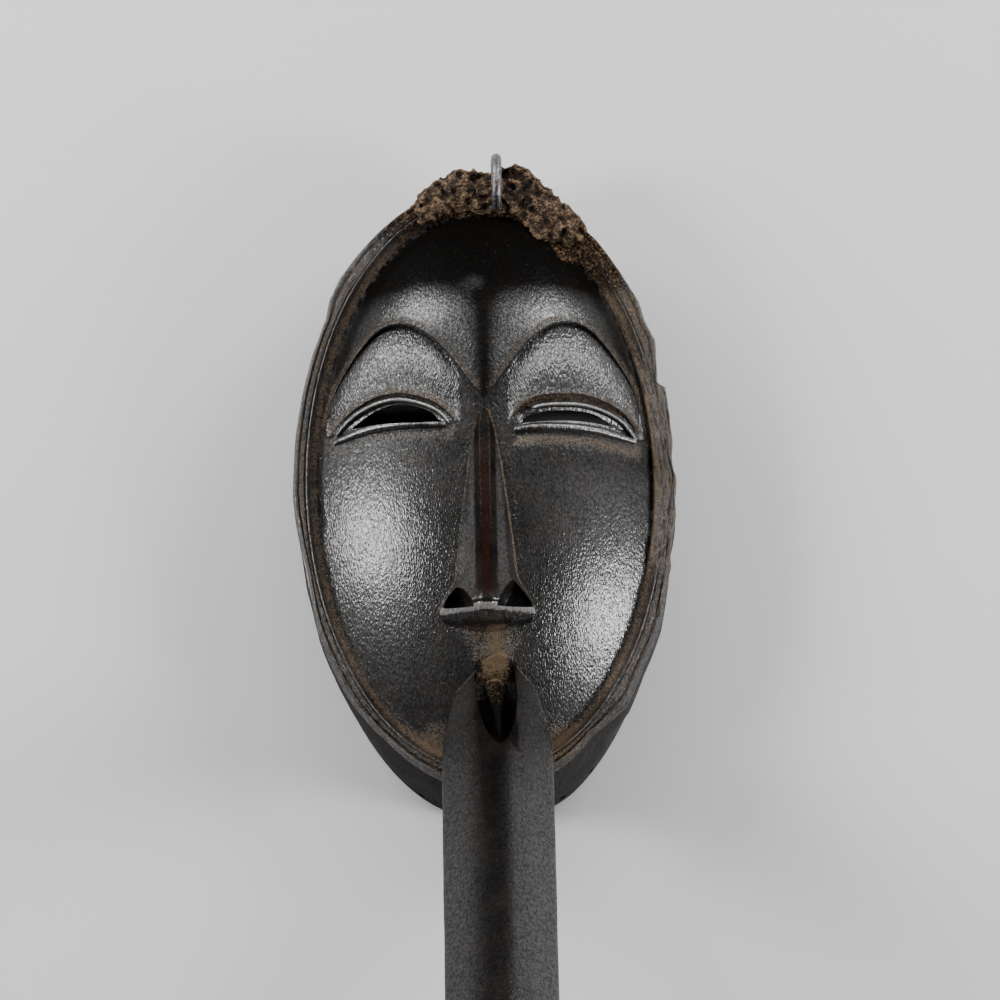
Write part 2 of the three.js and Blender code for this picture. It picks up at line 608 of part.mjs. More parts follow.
function finish(solid, name, colour, roughness, metalness) {
  const cut = solid.getMesh();
  const geometry = new THREE.BufferGeometry();
  geometry.setAttribute('position', new THREE.BufferAttribute(new Float32Array(cut.vertProperties), 3));
  geometry.setIndex(new THREE.BufferAttribute(new Uint32Array(cut.triVerts), 1));
  const material = new THREE.MeshStandardMaterial({ color: colour, roughness, metalness });
  const mesh = new THREE.Mesh(geometry, material);
  mesh.name = name;
  return mesh;
}

function maskBody() {
  let body = outerShell(0).add(forehead(0)).add(nose());
  for (const eye of EYES) {
    body = body.add(socket(eye)).subtract(nostrilScoop(eye)).subtract(eyeRecess(eye));
    body = body.add(ridgeOnFace(eye.upperLid, eye.side, UPPER_LID_RADIUS, LID_LIFT.upper));
    body = body.add(ridgeOnFace(eye.lowerLid, eye.side, LOWER_LID_RADIUS, LID_LIFT.lower));
  }
  body = body.add(beak()).subtract(slotCutter()).add(tongue()).subtract(hollow());
  for (const eye of EYES) {
    body = body.subtract(eyeSlit(eye));
  }
  for (let i = 0; i < LACING_COUNT; i += 1) {
    body = body.subtract(lacingHole(i));
  }
  return body.subtract(stapleSolid(STAPLE_RADIUS + GAP, GAP));
}

const body = maskBody();
const crust = crustLump()
  .subtract(loopHollow())
  .subtract(outerShell(GAP))
  .subtract(forehead(GAP))
  .subtract(stapleSolid(STAPLE_RADIUS + GAP, GAP));

const pieces = [
  finish(body, 'mask_body', 0x1d1916, 0.35, 0),
  finish(stapleSolid(STAPLE_RADIUS, 0), 'hanging_staple', 0x2b2a2b, 0.45, 0.8),
  finish(crust, 'crown_crust', 0x6a5440, 0.95, 0),
];

// The origin is on the floor, under the middle of the whole mask.
const group = new THREE.Group();
group.add(...pieces);
const size = new THREE.Box3().setFromObject(group);
group.position.set(-(size.min.x + size.max.x) / 2, -(size.min.y + size.max.y) / 2, -size.min.z);

export default group;
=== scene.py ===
import math
from functools import partial

import bpy
import numpy as np
from mathutils import Matrix, Vector, noise


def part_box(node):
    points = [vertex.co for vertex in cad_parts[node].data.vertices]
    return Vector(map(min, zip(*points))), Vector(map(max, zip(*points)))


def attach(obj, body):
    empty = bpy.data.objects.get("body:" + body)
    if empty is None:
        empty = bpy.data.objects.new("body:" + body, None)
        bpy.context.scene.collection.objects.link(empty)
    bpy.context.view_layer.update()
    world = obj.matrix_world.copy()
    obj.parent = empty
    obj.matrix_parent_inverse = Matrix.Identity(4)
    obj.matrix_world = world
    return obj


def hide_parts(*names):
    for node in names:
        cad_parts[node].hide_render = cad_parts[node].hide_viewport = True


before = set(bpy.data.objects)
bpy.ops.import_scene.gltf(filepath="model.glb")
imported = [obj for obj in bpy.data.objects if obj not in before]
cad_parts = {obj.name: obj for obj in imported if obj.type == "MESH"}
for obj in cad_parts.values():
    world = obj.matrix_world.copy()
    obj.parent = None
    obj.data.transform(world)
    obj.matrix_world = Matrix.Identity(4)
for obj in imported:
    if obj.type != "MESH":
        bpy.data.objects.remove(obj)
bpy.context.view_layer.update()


def add(name, data):
    piece = bpy.data.objects.new(name, data)
    bpy.context.collection.objects.link(piece)
    return piece


def pick(piece):
    bpy.ops.object.select_all(action="DESELECT")
    bpy.context.view_layer.objects.active = piece
    piece.select_set(True)


def new_paint(name):
    paint = bpy.data.materials.new(name)
    paint.use_nodes = True
    return paint, paint.node_tree, paint.node_tree.nodes["Principled BSDF"]


# The camera, floor and light. The mask lies face up on a plain pale floor. Soft boxes stand low at its
# left and right, and fainter ones stand past its crown, in an otherwise dim room. Each box has its place,
# its size, its watts and the degrees it leans.
CAMERA_PLACE = Vector((0.00107, -0.2029, 1.2188))
CAMERA_AIM = Vector((0.00556, 0.0466, 0.045))
CAMERA_UP = Vector((0.0176, 0.978, 0.208))
SOFT_BOXES = {
    "left_box": ((-1.03, 0.08, 0.72), (0.26, 0.52), 14, -12),
    "right_box": ((1.10, -0.22, 0.56), (0.26, 0.48), 15.5, 25),
    "left_fill": ((-0.80, 0.86, 0.62), (0.55, 0.46), 13, 0),
    "right_fill": ((0.80, 0.86, 0.66), (0.55, 0.46), 13, 0),
    "crown_box": ((0, 0.98, 0.98), (0.9, 0.26), 6, 0),
}
FLOOR_COLOUR = (0.60, 0.60, 0.61, 1)

camera_data = bpy.data.cameras.new("camera")
camera_data.lens = 112.2
camera_data.sensor_width = 36
camera = add("camera", camera_data)
backward = (CAMERA_PLACE - CAMERA_AIM).normalized()
rightward = CAMERA_UP.cross(backward).normalized()
upward = backward.cross(rightward)
turn = Matrix((rightward, upward, backward)).transposed().to_4x4()
camera.matrix_world = Matrix.Translation(CAMERA_PLACE) @ turn
bpy.context.scene.camera = camera

for box_name, (box_place, box_size, watts, lean) in SOFT_BOXES.items():
    lamp = bpy.data.lights.new(box_name, "AREA")
    lamp.shape, lamp.energy = "RECTANGLE", watts
    lamp.size, lamp.size_y = box_size
    holder = add(box_name, lamp)
    holder.location = box_place
    aim = Vector((0, 0.03, 0.05)) - holder.location
    roll = Matrix.Rotation(math.radians(lean), 3, "Z")
    holder.rotation_euler = (aim.to_track_quat("-Z", "Y").to_matrix() @ roll).to_euler()

room = bpy.data.worlds.new("room")
room.use_nodes = True
air = room.node_tree.nodes["Background"].inputs
air["Color"].default_value, air["Strength"].default_value = (0.8, 0.8, 0.82, 1), 0.07
bpy.context.scene.world = room

bpy.ops.mesh.primitive_plane_add(size=6, location=(0, 0, 0))
floor = bpy.context.object
floor.name = "floor"
floor_paint, tree, shader = new_paint("floor_paint")
shader.inputs["Base Color"].default_value = FLOOR_COLOUR
shader.inputs["Roughness"].default_value = 0.8
floor.data.materials.append(floor_paint)

# The mask body. One block of dense hardwood, adzed to an oval bowl and hollowed behind, with its face,
# rim ridges, nose and beak cut by knife, then blackened, oiled and handled to a gloss. The numbers
# are millimetres in the face's own frame, whose middle is the middle of the rim oval.
RIM_HALF_WIDTH, RIM_HALF_LENGTH, RIM_HEIGHT = 73.4, 117.7, 44
FACE_INSET = 8.8
FACE_HALF_WIDTH = RIM_HALF_WIDTH - FACE_INSET
FACE_HALF_LENGTH = RIM_HALF_LENGTH - FACE_INSET
FACE_EDGE_HEIGHT, FACE_RISE, FACE_ROUNDNESS = 41.2, 24, 2.3
CHIN_FLARE, CHIN_LEAN, WALL_THICKNESS, WALL_SWELL, BACK_EDGE_ROUNDING = 9, 3, 8, 1.2, 0.5
WALL_DEPTHS = [0.93, 0.88, 0.81, 0.73, 0.64, 0.55, 0.45, 0.35, 0.25, 0.16, 0.08, 0.03, 0.012, 0]
HOLLOW_EDGE_HEIGHT, HOLLOW_RISE, HOLLOW_INSET = 29, 25, 10.5
DOME_SCALES = [0.985, 0.96, 0.92, 0.87, 0.81, 0.74, 0.66, 0.57, 0.48, 0.39, 0.3, 0.21, 0.12, 0.05]
SCOOP_WIDTH, SCOOP_DEPTH, SCOOP_MEAN = 1.6, 1.3, 0.25
POINTS_AROUND, POINTS_AROUND_HOLLOW, FACE_RINGS = 520, 260, 58
# The rim from the face outwards: pairs of inset from the oval and height over the rim's level.
RIM_PROFILE = [
    (8.1, -2.75), (7.2, -2.7), (6.4, -2.4), (5.8, -1.9), (5.25, -0.9), (4.85, 0.25), (4.55, 0.72),
    (4.25, 0.6), (4, -0.25), (3.8, -0.3), (3.5, 0.25), (3, 0.5), (2.4, 0.5), (1.9, 0.3),
    (1.6, -0.35), (1.4, -0.45), (1.15, 0.1), (0.8, 0.35), (0.4, 0.15), (0.15, -0.6), (0, -1.6),
]
# The worn stretch of the rim, in degrees from the right side, comes in and goes out over these.
WORN_IN, WORN_OUT = (-23, -15), (20, 28)
# What hands and wear did to the rim and wall, by noises on a cylinder of one radius.
NOISE_RADIUS = 90
WAVER, CHIP_DEPTH, CHIP_LEAST, RIM_SWELL, WORN_DEPTH = 0.28, 0.4, 0.25, 0.18, 0.9
WORN_EDGE, WORN_WALL, WALL_MARKS = 0.4, 0.5, 0.22
# How far the rim and wall stand outside the oval: pairs of degrees from the right side and millimetres.
RIM_WANDER = [
    (-180, 0.3), (-177.8, 0.6), (-171, -0.8), (-163.2, -2), (-159, -1.5), (-151, 0.3), (-133, 0.6),
    (-122, -0.7), (-105, 0), (-68, 0), (-57.7, -1.5), (-47, 2.2), (-38, 0.9), (-29, 1.4), (-22, 0.1),
    (-10.6, -0.9), (-9, -0.3), (-3.5, -0.5), (0.5, 0), (2.3, -1), (4.2, -1.5), (8.1, -0.7), (15, 0.2),
    (18.2, 0.3), (18.9, -2.3), (20.5, -1.6), (24, 0), (27.7, 1.7), (32.3, 0.9), (37, 1.9), (42.3, 1.3),
    (54.4, 1.9), (66, 1), (106, 1), (124.3, 1.4), (136.4, 2.2), (141.6, 1.8), (145.8, -0.1), (180, 0.3),
]
BROW_STEP, BROW_ROUNDING, FOREHEAD_REACH, KEEL_RISE, KEEL_HALF_WIDTH = 4.6, 1.3, 0.985, 2.4, 9
PATCH_FLOOR = FACE_EDGE_HEIGHT - 4
BROW = [
    (0, 24.8), (12.8, 44.2), (21.5, 54.2), (31, 59.2), (41, 57.2), (51.4, 45.6), (58.6, 32.6),
    (62.7, 15),
]
BROW_END_ANGLE = math.radians(8)
UPPER_LID = {
    -1: [
        (13.4, 18.5), (17.4, 22.8), (23.2, 26), (32, 28.6), (39.5, 28.3), (46.1, 26.3), (52, 22.9),
        (57.2, 18),
    ],
    1: [(13, 18.4), (16.4, 22), (22, 24.6), (32, 25.7), (40, 25.4), (48, 23.2), (54, 19.8), (58.4, 14.4)],
}
LOWER_LID = {
    -1: [(15, 17.6), (22, 18.2), (30, 18.5), (38, 18.5), (45, 17.9), (52, 16.5), (58.2, 15)],
    1: [(11.5, 15), (18, 16), (26, 16.3), (35, 16.3), (44, 15.7), (52, 14.4), (58.4, 13.4)],
}
SLIT_TOP = {
    -1: [(16.6, 19.2), (19.5, 22.6), (23.6, 25.1), (30, 27.2), (36, 27.2), (43.2, 25.1), (51.6, 19.9)],
    1: [(14.2, 18), (16.6, 20.8), (22.8, 22.9), (29, 23.7), (35, 23.9), (42.4, 23), (49.6, 18.8)],
}
SLIT_BOTTOM = {
    -1: [(16.6, 19.2), (24.5, 19.3), (31, 19.7), (37, 20), (44.5, 20.1), (51.6, 19.9)],
    1: [(14.2, 18), (21.2, 18.8), (29, 19.5), (36, 19.7), (43.2, 19.4), (49.6, 18.8)],
}
UPPER_LID_SIZE = {"radius": 1.15, "lift": 0.6}
LOWER_LID_SIZE = {"radius": 1.9, "lift": 0.4}
LID_SECTION, LID_WOBBLE, SOCKET_BULGE, SOCKET_SINK = 1.25, 0.1, 3.2, 0.5
LID_GROOVE = {-1: {"offset": 2, "radius": 0.85}, 1: {"offset": 2.8, "radius": 1.6}}
LID_GROOVE_LIFT = 0.8
LID_CHIP, LID_CHIP_RADIUS, LID_CHIP_DEPTH = (17.2, 21.6), 3.3, 1.6
EYE_RECESS, ABOVE_ALL = 1.6, 90
SLIT_SLOPE = math.tan(math.radians(12))
NOSE_ROOT_Y, NOSE_TIP_Y, NOSE_TIP_RISE, NOSE_CREST_HALF_WIDTH, NOSE_FOOT = 23.2, -57.6, 20, 2.1, 58
NOSE_WING, NOSE_CAP, NOSE_LAG, NOSE_TIP_DROP, NOSE_ROOT_RISE = 5.2, 0.35, 3, 9, 1.6
NOSE_ROOT_HALF_WIDTH, NOSE_WIDENING, NOSE_SINK, NOSE_FLANK_BOW = 2.6, 11.6, 1.4, 0.25
NOSE_UNDERCUT = {"slope": 0.17, "reach": 24, "at_ends": 0.12, "step": 0.6, "narrowing": 0.05}
NOSTRILS = {
    -1: [(-4.8, 0), (-6.4, 3.6), (-9, 7), (-12, 8), (-14.8, 5.8), (-16.4, 2.2), (-16.8, 0)],
    1: [(3.6, 0), (4.9, 3.6), (7.3, 7.8), (10.2, 10.8), (13.4, 8.6), (16.8, 3.6), (18.4, 0)],
}
NOSTRIL_SILL_Y, SILL_LENS, NOSTRIL_FLOOR, NOSTRIL_REACH = -55.3, 2.5, 3.5, 22
BEAK_PITCH = math.radians(38)
BEAK_START = (2.8, -74, 62)
BEAK_LENGTH, BEAK_HALF_WIDTH, BEAK_TIP_START, BEAK_ROOF_DROP = 205, 21.4, 150, 14
CREST_SHIFT = 1.2
BEAK_ROOT_DEPTH, BEAK_END_DEPTH, BEAK_THINS = 46, 24, (10, 130)
BEAK_NARROWING, BEAK_HOOK = 0.07, 5
# The beak's section: how many parts each side of its outline is divided into, crest first.
BEAK_PARTS = [1, 8, 8, 3, 9, 7, 4, 7, 9, 3, 8, 8]
FLANGE_HALF_WIDTH, FLANGE_START, FLANGE_LENGTH = 14.6, -3, 42
# The notch in the beak's root and the tongue in it. Their tops and floors are pairs of distance along the
# beak's crest and height over it, and the two powers of a taper round it.
NOTCH_LENGTH, SLOT_OFFSET = 42, -0.8
NOTCH = {
    "start": -5.5, "half_width": 8.2, "taper": (3, 0.6), "shoulder": 0.5, "top": [(0, 9)],
    "floor": [(-5.5, 0.5), (-3.2, -4), (0, -10.5), (7, -13.5), (20, -12), (32, -7), (42, -1.5)],
}
TONGUE = {
    "start": -9, "half_width": 5.2, "taper": (1, 1.3), "shoulder": 1.8, "floor": [(0, -16)],
    "top": [(-9, -8), (-1.5, -9.4), (5, -7.2), (15, -4.8), (28, -2.2), (42, -0.1)],
}
LACING_COUNT, LACING_RADIUS, LACING_HEIGHT, LACING_REACH = 38, 1.5, 5.5, {"out": 14, "in": 16}
CRACK = [(25.7, 12.1), (26.3, 2.7), (24.9, -9.4), (22.8, -19.8), (19.9, -28.6), (17.1, -37.4)]
SCRATCH = [(36.2, -66.5), (40.6, -70.9)]
CRACK_SIZE, SCRATCH_SIZE = {"width": 0.4, "depth": 0.8}, {"width": 0.8, "depth": 0.5}

body_low, body_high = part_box("mask_body")
SHIFT_X = (body_low.x + body_high.x) / 2
SHIFT_Y = body_high.y - (RIM_HALF_LENGTH + WALL_SWELL) / 1000
FACE_SHIFT = np.array([SHIFT_X, SHIFT_Y, 0])


def ease(value, low, high):
    share = np.clip((value - low) / (high - low), 0, 1)
    return share * share * (3 - 2 * share)


def fade(value, low, high):
    return 1 - ease(value, low, high)


def line_at(points, at):
    return np.interp(at, *np.array(points).T)


def columns(*parts):
    """Rows of numbers from their columns, each one number or a number for each row."""
    return np.stack(np.broadcast_arrays(*parts), axis=-1)


def turns_around(count):
    return np.arange(count) * 2 * np.pi / count


def curve_through(points, shares):
    points = np.asarray(points, float)
    place = np.clip(shares, 0, 1) * (len(points) - 1)
    first = np.minimum(place.astype(int), len(points) - 2)
    w = (place - first)[:, None]
    b, c = points[first], points[first + 1]
    pull_b = (c - points[np.maximum(first - 1, 0)]) / 2
    pull_c = (points[np.minimum(first + 2, len(points) - 1)] - b) / 2
    return (
        (2 * b - 2 * c + pull_b + pull_c) * w**3
        + (3 * c - 3 * b - 2 * pull_b - pull_c) * w**2
        + pull_b * w + b
    )


def ripple(points, scale, octaves=1, seed=0, stretch=1):
    """Smooth repeatable noise, about -1 to 1, at points in millimetres, with z stretched first."""
    total = np.zeros(len(points))
    points = points * (1, 1, stretch)
    for octave in range(octaves):
        step = 2**octave / scale
        start = Vector((seed, seed, seed))
        total += np.array([noise.noise(Vector(point) * step + start) for point in points]) / 2**octave
    return total


def face_height(x, y):
    radius = np.minimum(np.hypot(x / FACE_HALF_WIDTH, y / FACE_HALF_LENGTH), 1)
    return FACE_EDGE_HEIGHT + FACE_RISE * (1 - radius**FACE_ROUNDNESS)


def rim_point(angle, inset, height):
    across, up = np.cos(angle), np.sin(angle)
    normal_x, normal_y = across / RIM_HALF_WIDTH, up / RIM_HALF_LENGTH
    length = np.hypot(normal_x, normal_y)
    x, y = RIM_HALF_WIDTH * across, RIM_HALF_LENGTH * up
    return columns(x - inset * normal_x / length, y - inset * normal_y / length, height)


def flare_at(angle):
    low = np.maximum(0, -np.sin(angle))
    return CHIN_FLARE * low**5 + CHIN_LEAN * low**2 * ease(np.cos(angle), 0, 0.4)


def turn_faces_outwards(merge=0):
    """Turn the active piece's faces outwards, after merging points closer than a distance."""
    bpy.ops.object.mode_set(mode="EDIT")
    bpy.ops.mesh.select_all(action="SELECT")
    if merge:
        bpy.ops.mesh.remove_doubles(threshold=merge)
    bpy.ops.mesh.normals_make_consistent(inside=False)
    bpy.ops.object.mode_set(mode="OBJECT")


def solid(points, faces):
    """A closed mesh object from points in face millimetres, with its faces turned outwards."""
    mesh = bpy.data.meshes.new("carving")
    mesh.from_pydata((points / 1000 + FACE_SHIFT).tolist(), [], [list(map(int, face)) for face in faces])
    piece = add("carving", mesh)
    pick(piece)
    turn_faces_outwards()
    return piece


def loft(rings):
    """A skin over closed rings of equal counts, with a fan to the middle of each end."""
    count = len(rings[0])
    points = np.concatenate([*rings, [np.mean(rings[0], axis=0)], [np.mean(rings[-1], axis=0)]])
    here = np.arange(count)
    after = (here + 1) % count
    faces = []
    last = count * (len(rings) - 1)
    for start in range(0, last, count):
        faces += (columns(here, after, after + count, here + count) + start).tolist()
    faces += [[count * len(rings), b, a] for a, b in zip(here, after)]
    faces += [[count * len(rings) + 1, last + a, last + b] for a, b in zip(here, after)]
    return solid(points, faces)


def patch(rows, floor_height):
    """A solid between a curved patch, given as rows of points, and a flat floor."""
    top = np.concatenate(rows)
    shape = len(rows), len(rows[0])
    under = top.copy()
    under[:, 2] = floor_height
    index = np.arange(len(top)).reshape(shape)
    quads = columns(index[:-1, :-1], index[:-1, 1:], index[1:, 1:], index[1:, :-1]).reshape(-1, 4)
    edge = np.concatenate([index[0, :-1], index[:-1, -1], index[-1, :0:-1], index[:0:-1, 0]])
    after = np.roll(edge, -1)
    sides = columns(edge, after, after + len(top), edge + len(top))
    faces = quads.tolist() + (quads[:, ::-1] + len(top)).tolist() + sides[:, ::-1].tolist()
    return solid(np.concatenate([top, under]), faces)


def apply(piece, kind, **settings):
    step = piece.modifiers.new(kind.lower(), kind)
    for key, value in settings.items():
        setattr(step, key, value)
    pick(piece)
    bpy.ops.object.modifier_apply(modifier=step.name)


def combine(piece, others, operation):
    for other in others:
        apply(piece, "BOOLEAN", operation=operation, solver="MANIFOLD", object=other)
        bpy.data.objects.remove(other, do_unlink=True)


def bowl_shell():
    """Face, ridged rim and side wall as one closed shell."""
    angle = turns_around(POINTS_AROUND)
    degrees = np.degrees(np.where(angle > np.pi, angle - 2 * np.pi, angle))
    worn = ease(degrees, *WORN_IN) * fade(degrees, *WORN_OUT)
    rings = []
    for share in np.linspace(0.02, 1, FACE_RINGS):
        x, y = FACE_HALF_WIDTH * share * np.cos(angle), FACE_HALF_LENGTH * share * np.sin(angle)
        rings.append(columns(x, y, face_height(x, y)))
    round_rim = columns(NOISE_RADIUS * np.cos(angle), NOISE_RADIUS * np.sin(angle), 0)
    wander_out = line_at(RIM_WANDER, degrees)
    out = rim_point(angle, -1, 0) - rim_point(angle, 0, 0)
    for inset, rise in RIM_PROFILE:
        layer = round_rim + (0, 0, 3 * inset)
        wander = WAVER * ripple(layer, 26, 2, stretch=0.25) * min(inset / 2, 1)
        broken = np.maximum(ripple(layer, 5, 2, 7) - CHIP_LEAST, 0) / (1 - CHIP_LEAST)
        rough = -WORN_DEPTH + WORN_DEPTH * ripple(layer, 4, 3, 3, stretch=1.4)
        height = rise - CHIP_DEPTH * broken * (rise > -0.4) + RIM_SWELL * ripple(layer, 15, 2, 11)
        height = height * (1 - worn) + rough * worn
        ring = rim_point(angle, inset - wander, RIM_HEIGHT)
        ragged = worn * WORN_EDGE * ripple(layer, 4, 3, 5)
        swell = ease(3.5 - inset, 0, 3.5) * (wander_out + ragged)
        rings.append(ring + out * swell[:, None] + columns(0, 0, height))
    for depth in WALL_DEPTHS:
        swell = WALL_SWELL * np.sin(np.pi * min(depth / 1.1, 1)) ** 0.8 - BACK_EDGE_ROUNDING * (depth == 0)
        flare = flare_at(angle) * (1 - depth)
        layer = round_rim + (0, 0, RIM_HEIGHT * depth)
        ragged = worn * WORN_WALL * ripple(layer, 5, 3, 5, stretch=0.35)
        rough = ease(depth, 0.2, 0.65) * wander_out + ragged
        marks = WALL_MARKS * ripple(layer, 9, 2, 2, stretch=0.5) * (depth > 0.02)
        rings.append(rim_point(angle, -flare - swell - rough - marks, RIM_HEIGHT * depth))
    return loft(rings)


def face_hollow():
    """The space behind the face, open at the back, with the shallow scoops the adze left."""
    angle = turns_around(POINTS_AROUND_HOLLOW)
    rings = [rim_point(angle, WALL_THICKNESS - flare_at(angle), -3)]
    for level in np.linspace(0, 1, 14):
        inset = WALL_THICKNESS + (HOLLOW_INSET - WALL_THICKNESS) * level - flare_at(angle) * (1 - level)
        rings.append(rim_point(angle, inset, HOLLOW_EDGE_HEIGHT * level))
    for scale in DOME_SCALES:
        edge = rim_point(angle, HOLLOW_INSET, HOLLOW_EDGE_HEIGHT + HOLLOW_RISE * (1 - scale**FACE_ROUNDNESS))
        rings.append(edge * (scale, scale, 1))
    for number, ring in enumerate(rings[1:], 1):
        scoops = np.abs(ripple(ring, 13, 1, 4, stretch=1.3)) - SCOOP_MEAN
        out = ring * (1, 1, 0) / np.maximum(np.hypot(*ring.T[:2]), 1)[:, None]
        ring += out * (SCOOP_WIDTH * scoops * (1 if number < 15 else 0.3))[:, None]
        ring[:, 2] += SCOOP_DEPTH * scoops * (1 if number > 13 else 0)
    return loft(rings)


def forehead_rise(x, y):
    radius = np.hypot(x / FACE_HALF_WIDTH, y / FACE_HALF_LENGTH)
    keel = KEEL_RISE * (1 - 0.8 * ease(y, 45, 85)) * np.exp(-((x / KEEL_HALF_WIDTH) ** 2)) * (1 - radius**2)
    return BROW_STEP * (1 - radius**5) - 0.7 * radius**12 + keel


def forehead():
    """The raised forehead, from a crisp rounded brow edge up to the rim."""
    along = np.linspace(-1, 1, 301)
    steps = np.concatenate([[0, 0.006, 0.014, 0.025, 0.04, 0.06], np.linspace(0.09, 1, 40)])
    foot = curve_through(BROW, np.abs(along))
    around = BROW_END_ANGLE + (1 - np.abs(along)) * (np.pi / 2 - BROW_END_ANGLE)
    side = np.where(along < 0, -1, 1)
    rows = []
    for step in steps:
        x = side * (foot[:, 0] * (1 - step) + FOREHEAD_REACH * FACE_HALF_WIDTH * np.cos(around) * step)
        y = foot[:, 1] * (1 - step) + FOREHEAD_REACH * FACE_HALF_LENGTH * np.sin(around) * step
        gone = np.clip(np.hypot(x - side * foot[:, 0], y - foot[:, 1]) / BROW_ROUNDING, 0, 1)
        rounding = BROW_ROUNDING * (1 - np.sqrt(np.clip(1 - (1 - gone) ** 2, 0, 1)))
        rows.append(columns(x, y, face_height(x, y) + forehead_rise(x, y) - rounding))
    return patch(rows, PATCH_FLOOR)


def between(side, low, high, steps, rises, floor_height):
    """A patch from one curve beside the nose to another, standing over the face by a rise for each step."""
    rows = []
    for step, rise in zip(steps, rises):
        flat = low * (1 - step) + high * step
        rows.append(columns(side * flat[:, 0], flat[:, 1], face_height(*flat.T) + rise))
    return patch(rows, floor_height)


def socket(side):
    """The swelling eyelid between the brow and the slit."""
    along = np.linspace(0, 1, 91)
    low, high = curve_through(UPPER_LID[side], along), curve_through(BROW, 0.06 + 0.9 * along)
    steps = (1 - np.cos(np.linspace(0, np.pi, 41))) / 2
    sideways = np.maximum(np.sin(np.pi * along**0.85), 0) ** 0.75
    bulge = SOCKET_BULGE * np.outer(np.sin(np.pi * (0.94 * steps + 0.04)) ** 0.7, sideways)
    return between(side, low, high, steps, bulge - SOCKET_SINK, PATCH_FLOOR)


def headings_of(line):
    heading = np.gradient(line, axis=0)
    return heading / np.hypot(*heading.T)[:, None]


def lid(points, side, radius, lift, seed):
    """A rounded ridge laid along the edge of the eye, thinning to its ends."""
    shares = np.linspace(0, 1, 90)
    centre = curve_through(points, shares)
    turns = turns_around(16)
    rings = []
    for at, (head_x, head_y), share in zip(centre, headings_of(centre), shares):
        size = radius * (0.45 + 0.55 * math.sin(math.pi * share) ** 0.5)
        size *= 1 + LID_WOBBLE * noise.noise(Vector((share * 34, seed, 0)))
        across, height = size * np.cos(turns), LID_SECTION * size * np.sin(turns)
        rings.append(columns(
            side * (at[0] - head_y * across), at[1] + head_x * across,
            face_height(*at) + lift + height,
        ))
    return loft(rings)


def eye_recess(side):
    """The sunken almond between the lids, in which the slit opens."""
    along, steps = np.linspace(0.03, 0.97, 61), np.linspace(0, 1, 13)
    low, high = curve_through(LOWER_LID[side], along), curve_through(UPPER_LID[side], along)
    depth = EYE_RECESS * np.outer(np.sin(np.pi * steps), np.sin(np.pi * along) ** 0.35)
    return between(side, low, high, steps, -depth, ABOVE_ALL)


def lid_chip():
    """The broken place at the inner end of the right upper lid."""
    turns = turns_around(11)
    size = LID_CHIP_RADIUS * (1 + 0.22 * np.sin(5 * turns) + 0.12 * np.sin(3 * turns + 1))
    x, y = LID_CHIP[0] + 1.2 * size * np.cos(turns), LID_CHIP[1] + 0.85 * size * np.sin(turns)
    return loft([columns(x, y, face_height(*LID_CHIP) + rise) for rise in (-LID_CHIP_DEPTH, 8)])


def eye_slit(side):
    shares = np.linspace(0, 1, 40)
    top, bottom = curve_through(SLIT_TOP[side], shares), curve_through(SLIT_BOTTOM[side], shares)
    outline = np.concatenate([top, bottom[-2:0:-1]]) * (side, 1)
    rings = []
    surface = face_height(*outline.T) - EYE_RECESS
    for height in (ABOVE_ALL, HOLLOW_EDGE_HEIGHT - 10):
        rise = (surface - height) * SLIT_SLOPE
        rings.append(columns(outline[:, 0], outline[:, 1] + rise, height))
    return loft(rings)


def nose_half_width(down):
    widened = NOSE_WIDENING * np.clip(down, 0, 1) ** 0.62
    return NOSE_ROOT_HALF_WIDTH + widened + NOSE_WING * ease(down, 0.8, 1)


